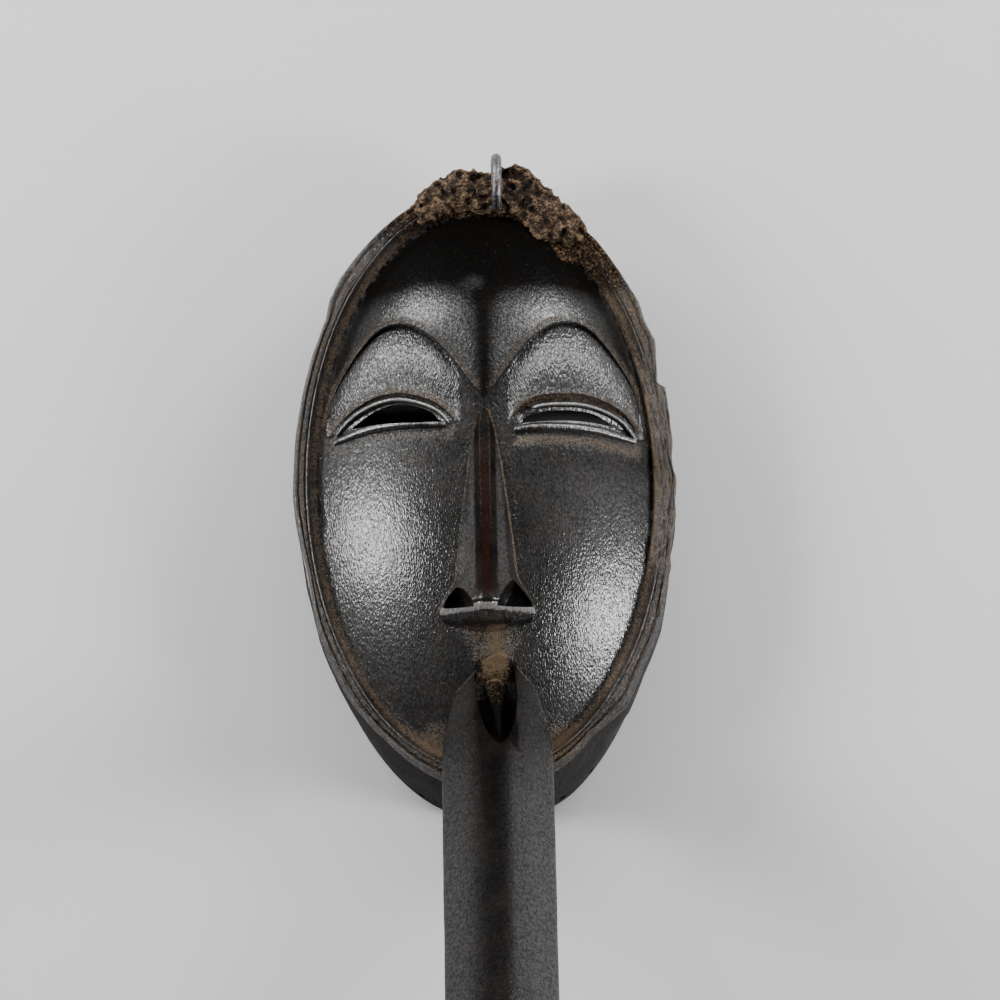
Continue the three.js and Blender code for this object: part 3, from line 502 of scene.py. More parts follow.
def nose():
    """A long ridged wedge that widens to nostril wings, its crest rounding over into the sill."""
    rings = []
    for down in np.concatenate([np.linspace(0, 0.92, 58), np.linspace(0.93, 1, 15)]):
        y = NOSE_ROOT_Y + (NOSE_TIP_Y - NOSE_ROOT_Y) * down
        half = nose_half_width(down)
        rise = NOSE_ROOT_RISE + (NOSE_TIP_RISE - NOSE_ROOT_RISE) * down**1.1
        rise -= NOSE_TIP_DROP * max((down - 0.93) / 0.07, 0) ** 2
        crest = min(NOSE_CREST_HALF_WIDTH, half * 0.4)
        base = face_height(half, y) - NOSE_SINK
        top = face_height(0, y) + rise
        middle = half * (0.62 + 0.25 * ease(down, 0.8, 0.98)) + crest * 0.3
        lag = NOSE_LAG * down
        right = []
        for share in np.linspace(0, 1, 10):
            x = half + (middle - half) * share - NOSE_FLANK_BOW * math.sin(math.pi * share)
            right.append((x, y + lag * (1 - share / 2), base + (top - base) * 0.5 * share))
        for share in np.linspace(0.1, 1, 10):
            x = middle + (crest - middle) * share
            height = (base + top) / 2 + ((top - base) / 2 - NOSE_CAP) * share
            right.append((x, y + lag * (1 - share) / 2, height))
        for share in (0.35, 0.7):
            right.append((crest * (1 - share), y, top - NOSE_CAP * (1 - share) ** 2))
        right = np.array(right)
        left = right[::-1] * (-1, 1, 1)
        feet = np.array([[-half, y + lag, FACE_EDGE_HEIGHT], [half, y + lag, FACE_EDGE_HEIGHT]])
        rings.append(np.concatenate([right, [[0, y, top]], left, feet]))
    tip, cut = rings[-1], NOSE_UNDERCUT
    for share in (0.15, 0.4, 0.7, 1):
        under = tip.copy()
        depth = (under[:, 2] - NOSE_FOOT).clip(0) * share
        lens = 1 - np.abs(under[:, 0] / under[:, 0].max()) ** SILL_LENS
        slope = cut["slope"] * (NOSE_FOOT + cut["reach"] - under[:, 2] + depth) * share
        under[:, 1] -= cut["step"] * math.sin(math.pi / 2 * share)
        under[:, 1] -= slope * (cut["at_ends"] + (1 - cut["at_ends"]) * lens)
        under[:, 0] *= 1 - cut["narrowing"] * share
        under[:, 2] -= depth
        rings.append(under)
    return loft(rings)


def nostril(side):
    """An arched scoop above the sill, narrowing as it goes in."""
    outline = curve_through(NOSTRILS[side], np.linspace(0, 1, 26))
    outline[:, 1] = np.maximum(outline[:, 1], 0)
    middle = np.array([outline[:, 0].mean(), 2])
    rings = []
    for share in np.linspace(0, 1, 12):
        ring = middle + (outline - middle) * (0.55 + 0.45 * min(share / 0.3, 1) ** 0.6)
        ring[:, 1] += 1.2 * (1 - share)
        height = face_height(middle[0], NOSTRIL_SILL_Y) + NOSTRIL_FLOOR + NOSTRIL_REACH * share
        rings.append(columns(ring[:, 0], NOSTRIL_SILL_Y + ring[:, 1], height))
    return loft(rings)


def beak_point(along, across, lift):
    """A point of the beak: along its crest, across it, and square to the crest."""
    return columns(
        BEAK_START[0] + across,
        BEAK_START[1] - along * math.cos(BEAK_PITCH) + lift * math.sin(BEAK_PITCH),
        BEAK_START[2] + along * math.sin(BEAK_PITCH) + lift * math.cos(BEAK_PITCH),
    )


def beak_half_width(along):
    opening = np.clip((along - FLANGE_START) / FLANGE_LENGTH, 0, 1)
    return FLANGE_HALF_WIDTH + (BEAK_HALF_WIDTH - FLANGE_HALF_WIDTH) * np.sin(np.pi / 2 * opening)


def beak_depth(along):
    return BEAK_ROOT_DEPTH + (BEAK_END_DEPTH - BEAK_ROOT_DEPTH) * ease(along, *BEAK_THINS)


def beak():
    rings = []
    tip_stations = BEAK_LENGTH - 24 * np.linspace(1, 0.02, 22) ** 2
    for along in np.concatenate([np.linspace(-16, 40, 36), np.linspace(42, 180, 56), tip_stations]):
        past = np.clip((along - BEAK_TIP_START) / (BEAK_LENGTH - BEAK_TIP_START), 0, 1)
        tip = math.sqrt(max(1 - past**2.6, 0))
        narrowing = 1 - BEAK_NARROWING * np.clip(along / BEAK_TIP_START, 0, 1)
        half = max(beak_half_width(along) * narrowing * tip, 0.6)
        drop = max(BEAK_ROOF_DROP * tip, 0.4)
        depth = max(beak_depth(along) * tip, 0.8)
        belly = depth - drop
        wobble = 0.25 * noise.noise(Vector((along / 23, 3.1, 0)))
        right = [
            (half * 0.09, -drop * 0.03), (half * 0.52, -drop * 0.42 + wobble), (half + wobble, -drop),
            (half * 0.96, -drop - belly * 0.14), (half * 0.66, -drop - belly * 0.66),
            (half * 0.22, -depth * 0.98),
        ]
        left = [(-across, lift) for across, lift in reversed(right)]
        outline = np.array(right + left)
        outline[[0, -1], 0] += CREST_SHIFT * tip
        outline[[1, -2], 0] += 0.5 * CREST_SHIFT * tip
        finer = []
        for a, b, parts in zip(outline, np.roll(outline, -1, axis=0), np.roll(BEAK_PARTS, -1)):
            finer += [a + (b - a) * k / parts for k in range(parts)]
        finer = np.array(finer)
        for _ in range(2):
            finer = 0.5 * finer + 0.25 * np.roll(finer, 1, axis=0) + 0.25 * np.roll(finer, -1, axis=0)
        rings.append(beak_point(along, finer[:, 0], finer[:, 1] - BEAK_HOOK * past**2))
    return loft(rings)


def crest_wedge(start, half_width, taper, shoulder, top, floor):
    """A tapered cutter or rib along the beak's crest, from the lip down to a point."""
    rings = []
    for share in np.linspace(0, 1, 44):
        along = start + (NOTCH_LENGTH - start) * share
        width = half_width * (1 - share ** taper[0]) ** taper[1] + 0.15
        high, low = line_at(top, along), line_at(floor, along)
        right = [(width * k, high - shoulder * k**2) for k in (0.2, 0.45, 0.7, 0.88)]
        right += [(width, high - shoulder - 0.5), (0.9 * width, low + 0.8), (0.35 * width, low)]
        outline = np.array(right + [(-across, lift) for across, lift in reversed(right)])
        middle = SLOT_OFFSET + (CREST_SHIFT - SLOT_OFFSET) * share
        rings.append(beak_point(along, outline[:, 0] + middle, outline[:, 1]))
    return loft(rings)


def lacing_hole(index):
    angle = np.array([2 * math.pi * (index + 0.5) / LACING_COUNT])
    outside = rim_point(angle, -LACING_REACH["out"], LACING_HEIGHT)[0]
    inside = rim_point(angle, LACING_REACH["in"], LACING_HEIGHT)[0]
    heading = (outside - inside) / np.linalg.norm(outside - inside)
    sideways = np.array([-heading[1], heading[0], 0])
    turns = turns_around(14)
    circle = LACING_RADIUS * (np.outer(np.cos(turns), sideways) + np.outer(np.sin(turns), [0, 0, 1]))
    return loft([inside + circle, outside + circle])


def hairline(points, width, depth):
    """A thin cutter for a drying crack or a scratch, tapering out at both ends."""
    shares = np.linspace(0, 1, 40)
    line = curve_through(points, shares)
    line[:, 0] += [0.35 * noise.noise(Vector((share * 9, 4, 0))) for share in shares]
    rings = []
    for at, (head_x, head_y), share in zip(line, headings_of(line), shares):
        half = width / 2 * max(math.sin(math.pi * share), 0.05) ** 0.6
        low = face_height(*at) - depth * max(math.sin(math.pi * share), 0.02) ** 0.6
        side = np.array([-head_y, head_x]) * half
        rings.append([[*(at + side), low + depth + 3], [*(at - side), low + depth + 3], [*at, low]])
    return loft(rings)


body = bowl_shell()
combine(body, [forehead(), nose()], "UNION")
combine(body, [socket(-1), socket(1)], "UNION")
combine(body, [nostril(-1), nostril(1)], "DIFFERENCE")
for side in (-1, 1):
    groove = LID_GROOVE[side]
    raised = [(at_x, at_y + groove["offset"]) for at_x, at_y in UPPER_LID[side]]
    combine(body, [lid(raised, side, groove["radius"], LID_GROOVE_LIFT, 9 + side)], "DIFFERENCE")
combine(body, [eye_recess(-1), eye_recess(1)], "DIFFERENCE")
lids = [lid(UPPER_LID[side], side, **UPPER_LID_SIZE, seed=1 + side) for side in (-1, 1)]
lids += [lid(LOWER_LID[side], side, **LOWER_LID_SIZE, seed=5 + side) for side in (-1, 1)]
combine(body, lids + [beak()], "UNION")
combine(body, [crest_wedge(**NOTCH)], "DIFFERENCE")
combine(body, [crest_wedge(**TONGUE)], "UNION")
combine(body, [face_hollow(), eye_slit(-1), eye_slit(1)], "DIFFERENCE")
combine(body, [lacing_hole(index) for index in range(LACING_COUNT)], "DIFFERENCE")
combine(body, [hairline(CRACK, **CRACK_SIZE), hairline(SCRATCH, **SCRATCH_SIZE), lid_chip()], "DIFFERENCE")
body.name = "mask_body_carved"
pick(body)
bpy.ops.object.shade_smooth_by_angle(angle=math.radians(35))

# Where the knife strokes run, where dirt has settled, where hands have worn the body through, and where
# highlight and shade are painted into its colour. Each layer of paint is a number at each point, summed from
# pairs of a place on the carving and its weight there.
EYE_FROM, EYE_TO = 11, 60
FACE_SLACK, RIM_SLACK, SKIN = 2.5, 4, 0.3
STROKE_PITCH, FOREHEAD_FAN, SOCKET_FAN = (1, 0.38, 0.3), (31, 34), (32, -25)
PHILTRUM_MIDDLE = [(-82, 3), (-61, 1.2)]
PHILTRUM_HALF_WIDTH = [(-82, 5), (-76, 7.5), (-61, 16)]
FOREHEAD_LOBES = [(-22, 65, 10), (28, 60, 12), (-2, 76, 5)]
# The lower border of the crumbs that have fallen from the crust: pairs of x and y.
CRUMB_LINE = [
    (-44, 103), (-31, 105), (-22, 106.2), (-14, 106.3), (-1, 107.6), (11, 107), (19, 103), (26, 97),
    (30, 89), (34, 87), (44, 90),
]


def places_of(piece):
    """A piece's points, in millimetres of the face's own frame."""
    flat = np.zeros(len(piece.data.vertices) * 3)
    piece.data.vertices.foreach_get("co", flat)
    return flat.reshape(-1, 3) * 1000 - FACE_SHIFT * 1000


def store(piece, label, values):
    """Keep a number or a vector for each point, which the piece's material reads by its label."""
    kind, key = ("FLOAT", "value") if values.ndim == 1 else ("FLOAT_VECTOR", "vector")
    layer = piece.data.attributes.new(label, kind, "POINT")
    layer.data.foreach_set(key, values.astype(np.float32).ravel())


def total(*pairs):
    return sum(place * weight for place, weight in pairs)


def distance_to(curve, at_x, at_y):
    """Distance from each place to a curve on the face, and the share of its length that is nearest."""
    line = curve_through(curve, shares)
    nearest, share = np.full(len(at_x), np.inf), np.zeros(len(at_x))
    for number, (line_x, line_y) in enumerate(line):
        gap = np.hypot(np.abs(at_x) - line_x, at_y - line_y)
        closer = gap < nearest
        nearest[closer], share[closer] = gap[closer], shares[number]
    return nearest, share


def beside_curve(curves):
    """Distance to a curve given for each side, and the curve's height across the face."""
    gap, height = np.zeros(len(x)), np.zeros(len(x))
    for side, here in ((-1, ~right_side), (1, right_side)):
        gap[here] = distance_to(curves[side], x[here], y[here])[0]
        line = curve_through(curves[side], shares)
        height[here] = np.interp(across_x[here], line[:, 0], line[:, 1])
    return gap, height


def band(distance, centre, half_width):
    return np.exp(-(((distance - centre) / half_width) ** 2))


places = places_of(body)
x, y, z = places.T
shares = np.linspace(0, 1, 240)
across_x = np.abs(x)
right_side = x > 0
face_z = face_height(x, y)
radius = np.hypot(x / FACE_HALF_WIDTH, y / FACE_HALF_LENGTH)
brow_gap, brow_share = distance_to(BROW, x, y)
upper_gap, upper_y = beside_curve(UPPER_LID)
lower_gap, lower_y = beside_curve(LOWER_LID)
brow_line = curve_through(BROW, shares)
brow_y = np.interp(across_x, brow_line[:, 0], brow_line[:, 1], right=-20)
beside_eye = (across_x > EYE_FROM) & (across_x < EYE_TO)
front = z > face_z - FACE_SLACK
on_forehead = front & (y > brow_y) & (radius < 1)
upper_forehead = on_forehead * ease(y, 62, 84)
on_socket = front & (y <= brow_y) & (y > upper_y) & (across_x > 9) & (y > 8)
below_lid = beside_eye & front & (y < lower_y)

down = (NOSE_ROOT_Y - y) / (NOSE_ROOT_Y - NOSE_TIP_Y - NOSE_LAG)
nose_half = nose_half_width(down)
on_nose = front & (across_x < nose_half + 0.2) & (down > -0.02) & (down < 1.12) & (z > face_z + SKIN)
beside_nose = front & (down > -0.05) & (down < 1)
sill = (y < NOSTRIL_SILL_Y + 1.5) & (y > NOSTRIL_SILL_Y - 3) & (across_x < 20) & (z > face_z + 2.2)
sill_edge = sill & (z > face_z + 3) & (y > NOSTRIL_SILL_Y - 0.6)
philtrum = front & (y < NOSE_TIP_Y - 1.5) & (z < face_z + 3) & (y > -90)
off_philtrum = np.abs(x - line_at(PHILTRUM_MIDDLE, y)) / line_at(PHILTRUM_HALF_WIDTH, y)
philtrum_dirt = philtrum * fade(off_philtrum, 0.45, 1.1) * ease(y, -84, -74)

along = -(y - BEAK_START[1]) * math.cos(BEAK_PITCH) + (z - BEAK_START[2]) * math.sin(BEAK_PITCH)
lift = (y - BEAK_START[1]) * math.sin(BEAK_PITCH) + (z - BEAK_START[2]) * math.cos(BEAK_PITCH)
across_beak = x - BEAK_START[0]
off_crest = across_beak - CREST_SHIFT
beak_half = beak_half_width(along)
on_beak = (along > -4) & (np.abs(across_beak) < beak_half + 0.4) & (lift > -beak_depth(along) - 1)
on_beak &= (z > 12) & ((z > face_z + SKIN) | (radius > 1))
at_beak_root = (on_beak | (front & (np.abs(across_beak) < beak_half + 3))) & (along > -7) & (along < 40)
in_notch = (along > NOTCH["start"]) & (along < NOTCH_LENGTH) & (lift < 1)
in_notch &= np.abs(across_beak) < NOTCH["half_width"] - 0.5
on_tongue = in_notch & (lift > -11) & (np.abs(across_beak) < TONGUE["half_width"])

hollow_radius = np.hypot(x / (RIM_HALF_WIDTH - HOLLOW_INSET), y / (RIM_HALF_LENGTH - HOLLOW_INSET))
dome = HOLLOW_EDGE_HEIGHT + HOLLOW_RISE * (1 - np.minimum(hollow_radius, 1) ** FACE_ROUNDNESS)
inside = (hollow_radius < 1.075) & (z < dome + 2.2) & ~on_beak
on_rim = (radius > 1) & (z > RIM_HEIGHT - RIM_SLACK) & ~on_beak
oval = np.hypot(x / RIM_HALF_WIDTH, y / RIM_HALF_LENGTH)
rim_angle = np.arctan2(y / RIM_HALF_LENGTH, x / RIM_HALF_WIDTH)
rim_degrees = np.degrees(rim_angle)
inset = (1 - oval) * np.hypot(RIM_HALF_WIDTH * np.cos(rim_angle), RIM_HALF_LENGTH * np.sin(rim_angle))
outer_wall = ~inside & (oval > 0.995) & ~on_rim & ~on_beak
worn_side = ease(rim_degrees, *WORN_IN) * fade(rim_degrees, *WORN_OUT)
bare = (inset < 8.5) * ease(z + 3 * ripple(places, 9, 2, 21), 12, 40) * worn_side * ~inside * 0.85
rim_valley = (front | on_rim) * (radius > 0.85) * ~on_beak
valley_width = 0.55 + 0.5 * ease(-y, 10, 70) + 0.3 * ease(y, 40, 80)
beak_corner = (z > 36) & (z < 56) & ~on_beak
corner_gap = np.hypot(np.abs(across_beak) - 23, y + 100)

strokes = places * STROKE_PITCH
out, up = across_x - FOREHEAD_FAN[0], y - FOREHEAD_FAN[1]
strokes[on_forehead] = columns(np.arctan2(up, out) * 34, np.hypot(out, up) * 0.36, x * 0.3)[on_forehead]
out, up = across_x - SOCKET_FAN[0], y - SOCKET_FAN[1]
strokes[on_socket] = columns(np.arctan2(out, up) * 68, np.hypot(out, up) * 0.3, x * 0.05 + 40)[on_socket]
strokes[on_rim] = columns(inset * 1.6, rim_angle * 30, z * 0.9 + 80)[on_rim]
strokes[on_beak] = columns(across_beak * 1.2, along * 0.3, lift * 0.9 + 120)[on_beak]
store(body, "strokes", strokes)

store(body, "dirt", total(
    (on_forehead * band(brow_gap, 1.7, 1.5) * ease(brow_share, 0.01, 0.06), 0.5),
    (on_socket * beside_eye * band(upper_gap, 3.6, 2.3), 0.56),
    (below_lid * right_side * band(lower_gap, 4.6, 2.8), 0.62),
    (below_lid * ~right_side * band(lower_gap, 3.8, 2), 0.42),
    (beside_nose * band(np.abs(across_x - nose_half - 0.2), 1, 2.2), 0.16),
    (philtrum_dirt, 0.5), (philtrum_dirt * band(x, 3, 3.6), 0.4), (on_tongue * fade(along, 2, 34), 0.4),
    (rim_valley * band(inset, 7.4, 1.2), 0.4), (rim_valley * valley_width * band(inset, 9.8, 1.7), 0.24),
    (on_rim, 0.3), (on_rim * band(inset, 2.7, 0.9), 0.16), (on_rim * band(inset, 4.5, 0.6), 0.12),
    (on_rim * band(inset, 0.6, 0.8), 0.2), (on_rim * right_side * ease(y, 40, 70), 0.2),
    (beak_corner * band(corner_gap, 0, 7), 0.62), (inside, 0.12),
    (outer_wall, 0.12), (outer_wall * ease(z, 33, 42), 0.3),
))
# Painted highlight: a pale grey laid along the lid ridges, the nostril sill and its edge, and the tops of
# two rim ridges, where lamps glint.
painted_highlight = total(
    (front * beside_eye * band(upper_gap, 0, 0.6), 0.95), (sill, 0.35), (sill_edge, 0.75),
    (front * beside_eye * band(lower_gap, -0.2, 0.9), 0.9),
    (on_rim * (1 - worn_side) * band(inset, 4.5, 0.35), 0.9),
    (on_rim * (1 - worn_side) * band(inset, 0.8, 0.3), 0.6),
)
store(body, "painted_highlight", painted_highlight)
store(body, "wear", total(
    (on_nose * band(across_x, 0, 2.3) * ease(down, 0.05, 0.3) * fade(down, 0.93, 1), 0.95),
    (on_beak * band(np.abs(off_crest), 0, 0.9) * (lift > -2.5) * ease(along, 44, 60), 0.8),
))
store(body, "bare", bare)
crumb = ease(y - line_at(CRUMB_LINE, x), -2.5, 1.5) * (z > 30) * ~inside * fade(rim_degrees, 118, 136)
rim_crumbs = on_rim * np.where(right_side, 0.62 * ease(y, 66, 84), 0.5 * ease(y, 86, 104))
store(body, "crumb", np.maximum(crumb, rim_crumbs))
store(body, "matt", np.clip(total(
    (on_beak, 0.6), (on_rim, 0.45), (inside, 0.9), (outer_wall, 0.6), (bare, 0.5), (upper_forehead, 0.2),
    (on_nose * fade(down, 0.93, 1), 0.3), (front & (y < -60) & (across_x < 22), 0.3),
), 0, 1))
store(body, "tooth", 0.72 + total(
    (sill, 1.4), (on_beak & (along < 44), 0.5), (on_socket, 1.1), (on_forehead, 0.25), (on_nose, -0.2),
    (upper_forehead, -0.5), (on_rim, 0.5),
))
root_shade = band(off_crest, 0, 10) * fade(along, 35, 75)
lobes = sum(band(np.hypot(x - at_x, (y - at_y) * 1.2), 0, size) for at_x, at_y, size in FOREHEAD_LOBES)
groove = np.where(right_side, band(upper_gap, 2.9, 1.2), band(upper_gap, 2, 0.7)) * on_socket * beside_eye
store(body, "gloss", np.clip(1 + total(
    (on_socket, 0.35), (on_forehead, -0.55), (on_forehead * lobes, 0.9), (upper_forehead, -0.7),
    (on_forehead * band(x, 0.3, 3 + 3 * ease(y, 34, 74)), -0.42), (groove, -1.2),
    (front * right_side * band(y, 5, 6.5) * ease(across_x, 16, 30), -0.4),
    (on_nose, -0.5), (on_nose * fade(across_x, 3.6, 4.6) * fade(down, 0.9, 0.97), -0.6), (sill, 0.9),
    (on_beak, -0.56), (on_beak * np.maximum(band(off_crest, -4.5, 6.5), root_shade), -0.35),
    (in_notch, -0.9),
    (on_beak * fade(along, 30, 110), -0.1), (on_beak * ease(x, 4, 10), 0.16),
    (outer_wall, -0.85), (outer_wall * ~right_side, -0.08), (inside, -0.9), (on_rim, -0.2), (bare, -0.3),
    (np.clip(painted_highlight, 0, 1), 0.8),
), 0.05, 2))
seam = ease(nose_half + 3 - across_x, 0, 1.5) * beside_nose * np.where(right_side, 0.7, 0.45)
seam += at_beak_root * (lift > -36) * np.where(right_side, 1, 0.85)
store(body, "seam", seam * ~in_notch * ~(philtrum & (off_philtrum < 1)))
# How brown the black wood turns: browner on the nose, blacker on the beak and the forehead, and blacker
# again over the forehead's top. That last part is painted shade where the forehead turns up, away from the
# lamps.
store(body, "brown_and_shade", np.clip(0.65 + total(
    (on_beak, -0.15), (on_forehead, -0.3), (upper_forehead, -0.35), (on_nose, 0.35),
), 0, 1))


# These add their nodes to `tree`, the tree of the material in hand, and `drive` links one to its shader.
def node(kind, inputs=None, **settings):
    made = tree.nodes.new("ShaderNode" + kind)
    for key, value in settings.items():
        setattr(made, key, value)
    for key, value in (inputs or {}).items():
        if isinstance(value, bpy.types.NodeSocket):
            tree.links.new(value, made.inputs[key])
        else:
            made.inputs[key].default_value = value
    return made


def math_node(operation, *values):
    return node("Math", dict(enumerate(values)), operation=operation).outputs[0]


plus, minus, times = (partial(math_node, operation) for operation in ("ADD", "SUBTRACT", "MULTIPLY"))


def ramp(value, low, high, out_low=0, out_high=1):
    inputs = {"Value": value, "From Min": low, "From Max": high, "To Min": out_low, "To Max": out_high}
    return node("MapRange", inputs, interpolation_type="SMOOTHSTEP").outputs["Result"]


def blend(share, first, second):
    """Two colours mixed by a share. 0, 6 and 7 are the Mix node's numbers for these sockets."""
    return node("Mix", {0: share, 6: first, 7: second}, data_type="RGBA").outputs[2]


def noise_at(vector, scale, detail=3, roughness=0.55, distortion=0):
    inputs = {"Vector": vector, "Scale": scale, "Detail": detail, "Roughness": roughness}
    return node("TexNoise", {**inputs, "Distortion": distortion}).outputs["Fac"]


def bumped(height, strength, distance):
    inputs = {"Height": height, "Strength": strength, "Distance": distance}
    return node("Bump", inputs).outputs["Normal"]


def painted(label, kind="Fac"):
    return node("Attribute", attribute_name=label).outputs[kind]


def drive(name, value):
    tree.links.new(value, shader.inputs[name])


BLACK_WOOD, BROWN_WOOD = (0.0018, 0.0016, 0.0014, 1), (0.012, 0.0085, 0.0065, 1)
OCHRE_DIRT, DARK_DIRT = (0.12, 0.084, 0.052, 1), (0.022, 0.015, 0.010, 1)
# The pale grey below is a painted highlight for the ridges where lamps glint.
RED_WEAR, HIGHLIGHT_GREY, BARE_WOOD = (0.014, 0.0045, 0.003, 1), (0.26, 0.25, 0.24, 1), (0.075, 0.066, 0.06, 1)
TAN_CRUMB, BROWN_CRUMB = (0.17, 0.112, 0.066, 1), (0.034, 0.021, 0.0125, 1)
UNEVEN_MEAN, NOISE_MEAN = 1.25, 0.5
COAT_ROUGHNESS, WOOD_IOR, BUMP_HEIGHT = 0.17, 1.55, 0.0004

patina, tree, shader = new_paint("patinated_wood")
place = node("TexCoord").outputs["Object"]
stroke = painted("strokes", "Vector")
stroke_noise = noise_at(stroke, 2, 1, 0.5)
long_noise = noise_at(stroke, 0.45, 2, 0.5)
grain_noise = noise_at(place, 2400, 2, 0.6)
patch_noise = noise_at(place, 75, 4, 0.6)
speck_noise = noise_at(place, 1250, 3, 0.65)
clump_noise = noise_at(place, 330, 3, 0.6)
crumb_noise = noise_at(place, 900, 3, 0.6)
mottle_noise = noise_at(place, 850, 2, 0.6)
uneven = plus(times(speck_noise, 1.8), times(clump_noise, 0.7))
patchy = minus(uneven, UNEVEN_MEAN)
streaky = minus(stroke_noise, NOISE_MEAN)

# The seam is the line of ochre in the angle between the face and what stands on it, so it is found by the
# height above the domed face.
object_x, object_y, object_z = node("SeparateXYZ", {"Vector": place}).outputs
ellipse_x = math_node("DIVIDE", minus(object_x, SHIFT_X), FACE_HALF_WIDTH / 1000)
ellipse_y = math_node("DIVIDE", minus(object_y, SHIFT_Y), FACE_HALF_LENGTH / 1000)
squared = plus(times(ellipse_x, ellipse_x), times(ellipse_y, ellipse_y))
fall = times(math_node("POWER", squared, FACE_ROUNDNESS / 2), FACE_RISE)
above_face = minus(times(object_z, 1000), minus(FACE_EDGE_HEIGHT + FACE_RISE, fall))
seam_share = times(times(ramp(above_face, 0.12, 0.45), ramp(above_face, 1, 1.9, 1, 0)), painted("seam"))

dirt_amount = plus(painted("dirt"), times(seam_share, 0.75))
dirt_share = ramp(plus(dirt_amount, patchy), 0.27, 0.85)
dirt_colour = blend(ramp(plus(uneven, times(dirt_amount, 0.6)), 1.2, 1.95), DARK_DIRT, OCHRE_DIRT)
crumb_share = ramp(plus(painted("crumb"), patchy), 0.3, 0.6)
grit = plus(times(crumb_noise, 2.6), times(clump_noise, 0.8))
crumb_colour = blend(ramp(grit, 1.30, 1.66), BLACK_WOOD, BROWN_CRUMB)
crumb_colour = blend(ramp(grit, 1.70, 2.15), crumb_colour, TAN_CRUMB)
# The brown share also carries the painted shade over the forehead's top.
coloured = blend(times(ramp(patch_noise, 0.35, 0.7), painted("brown_and_shade")), BLACK_WOOD, BROWN_WOOD)
# The pale grey share is a painted highlight. The other shares are the wood's own wear, bare wood, dirt and
# crumbs.
for share, colour in (
    (ramp(plus(painted("wear"), times(patchy, 1.2)), 0.4, 1), RED_WEAR),
    (ramp(plus(painted("painted_highlight"), times(streaky, 1.8)), 0.45, 1.1), HIGHLIGHT_GREY),
    (ramp(plus(painted("bare"), times(streaky, 1.6)), 0.3, 1), BARE_WOOD),
    (dirt_share, dirt_colour), (crumb_share, crumb_colour),
):
    coloured = blend(share, coloured, colour)
drive("Base Color", coloured)
rough = ramp(patch_noise, 0.3, 0.7, 0.44, 0.54)
for share, weight in ((painted("matt"), 0.22), (dirt_share, 0.35), (crumb_share, 0.3)):
    rough = plus(rough, times(share, weight))
drive("Roughness", rough)
shine = times(painted("gloss"), ramp(mottle_noise, 0.32, 0.68, 0.3, 0.7))
for share, weight in ((crumb_share, 0.8), (dirt_share, 0.6)):
    shine = times(shine, minus(1, times(share, weight)))
drive("Specular IOR Level", times(shine, 0.6))
drive("Coat Weight", times(shine, 1.9))
relief = plus(times(stroke_noise, 0.62), times(long_noise, 0.4))
relief = plus(times(relief, painted("tooth")), times(grain_noise, 0.05))
relief = plus(relief, times(times(dirt_share, speck_noise), 0.8))
relief = plus(relief, times(times(crumb_share, uneven), 2.4))
for name in ("Normal", "Coat Normal"):
    drive(name, bumped(relief, 1, BUMP_HEIGHT))
shader.inputs["Coat Roughness"].default_value = COAT_ROUGHNESS
shader.inputs["IOR"].default_value = WOOD_IOR
body.data.materials.clear()
body.data.materials.append(patina)
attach(body, "root")
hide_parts("mask_body")

# The hanging staple. One round iron bar, forged and bent by the smith, both legs driven into the
# crown. Dark oxide covers it, with brighter patches at random.
STAPLE_X, STAPLE_RADIUS, STAPLE_DENTS = 6.4, 2.1, [(220, 0.00022), (700, 0.00006)]
STAPLE_PATH = [
    (109, 46), (112.5, 50.5), (118.5, 52.5), (126, 50), (130, 43), (128.5, 35), (122, 30.5), (114, 28),
]
route = curve_through(STAPLE_PATH, np.linspace(0, 1, 41)) / 1000 + (SHIFT_Y, 0)
headings = np.unwrap(np.arctan2(np.gradient(route[:, 1]), np.gradient(route[:, 0])))
bar_x = STAPLE_X / 1000 + SHIFT_X
bpy.ops.mesh.primitive_circle_add(
    vertices=16, radius=STAPLE_RADIUS / 1000, fill_type="NGON",
    location=(bar_x, route[0, 0], route[0, 1]), rotation=(headings[0] - math.pi / 2, 0, 0),
)
staple = bpy.context.object
staple.name = "iron_staple"
bpy.ops.object.transform_apply(location=True, rotation=True, scale=True)
bpy.ops.object.mode_set(mode="EDIT")
bpy.ops.mesh.select_all(action="SELECT")
for number in range(1, len(route)):
    step = route[number] - route[number - 1]
    bpy.ops.mesh.extrude_region_move(TRANSFORM_OT_translate={"value": (0, step[0], step[1])})
    bpy.ops.transform.rotate(
        value=-(headings[number] - headings[number - 1]), orient_axis="X",
        center_override=(bar_x, route[number, 0], route[number, 1]),
    )
bpy.ops.object.mode_set(mode="OBJECT")
turn_faces_outwards()
for vertex in staple.data.vertices:
    dent = sum(noise.noise(vertex.co * finer) * depth for finer, depth in STAPLE_DENTS)
    vertex.co += vertex.normal * dent
bpy.ops.object.shade_smooth_by_angle(angle=math.radians(50))

DARK_IRON, BRIGHT_IRON, RUST = (0.05, 0.05, 0.052, 1), (0.22, 0.22, 0.225, 1), (0.07, 0.032, 0.016, 1)
iron, tree, shader = new_paint("forged_iron")
place = node("TexCoord").outputs["Object"]
scale_noise = noise_at(place, 900, 4, 0.65)
rust_share = ramp(noise_at(place, 330, 3, 0.6), 0.5, 0.68)
metal = blend(ramp(scale_noise, 0.35, 0.65), DARK_IRON, BRIGHT_IRON)
drive("Base Color", blend(rust_share, metal, RUST))
drive("Metallic", ramp(rust_share, 0, 1, 0.9, 0.2))
drive("Roughness", ramp(scale_noise, 0.3, 0.7, 0.3, 0.55))
drive("Normal", bumped(scale_noise, 0.6, 0.0002))
staple.data.materials.clear()
staple.data.materials.append(iron)
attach(staple, "root")
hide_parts("hanging_staple")

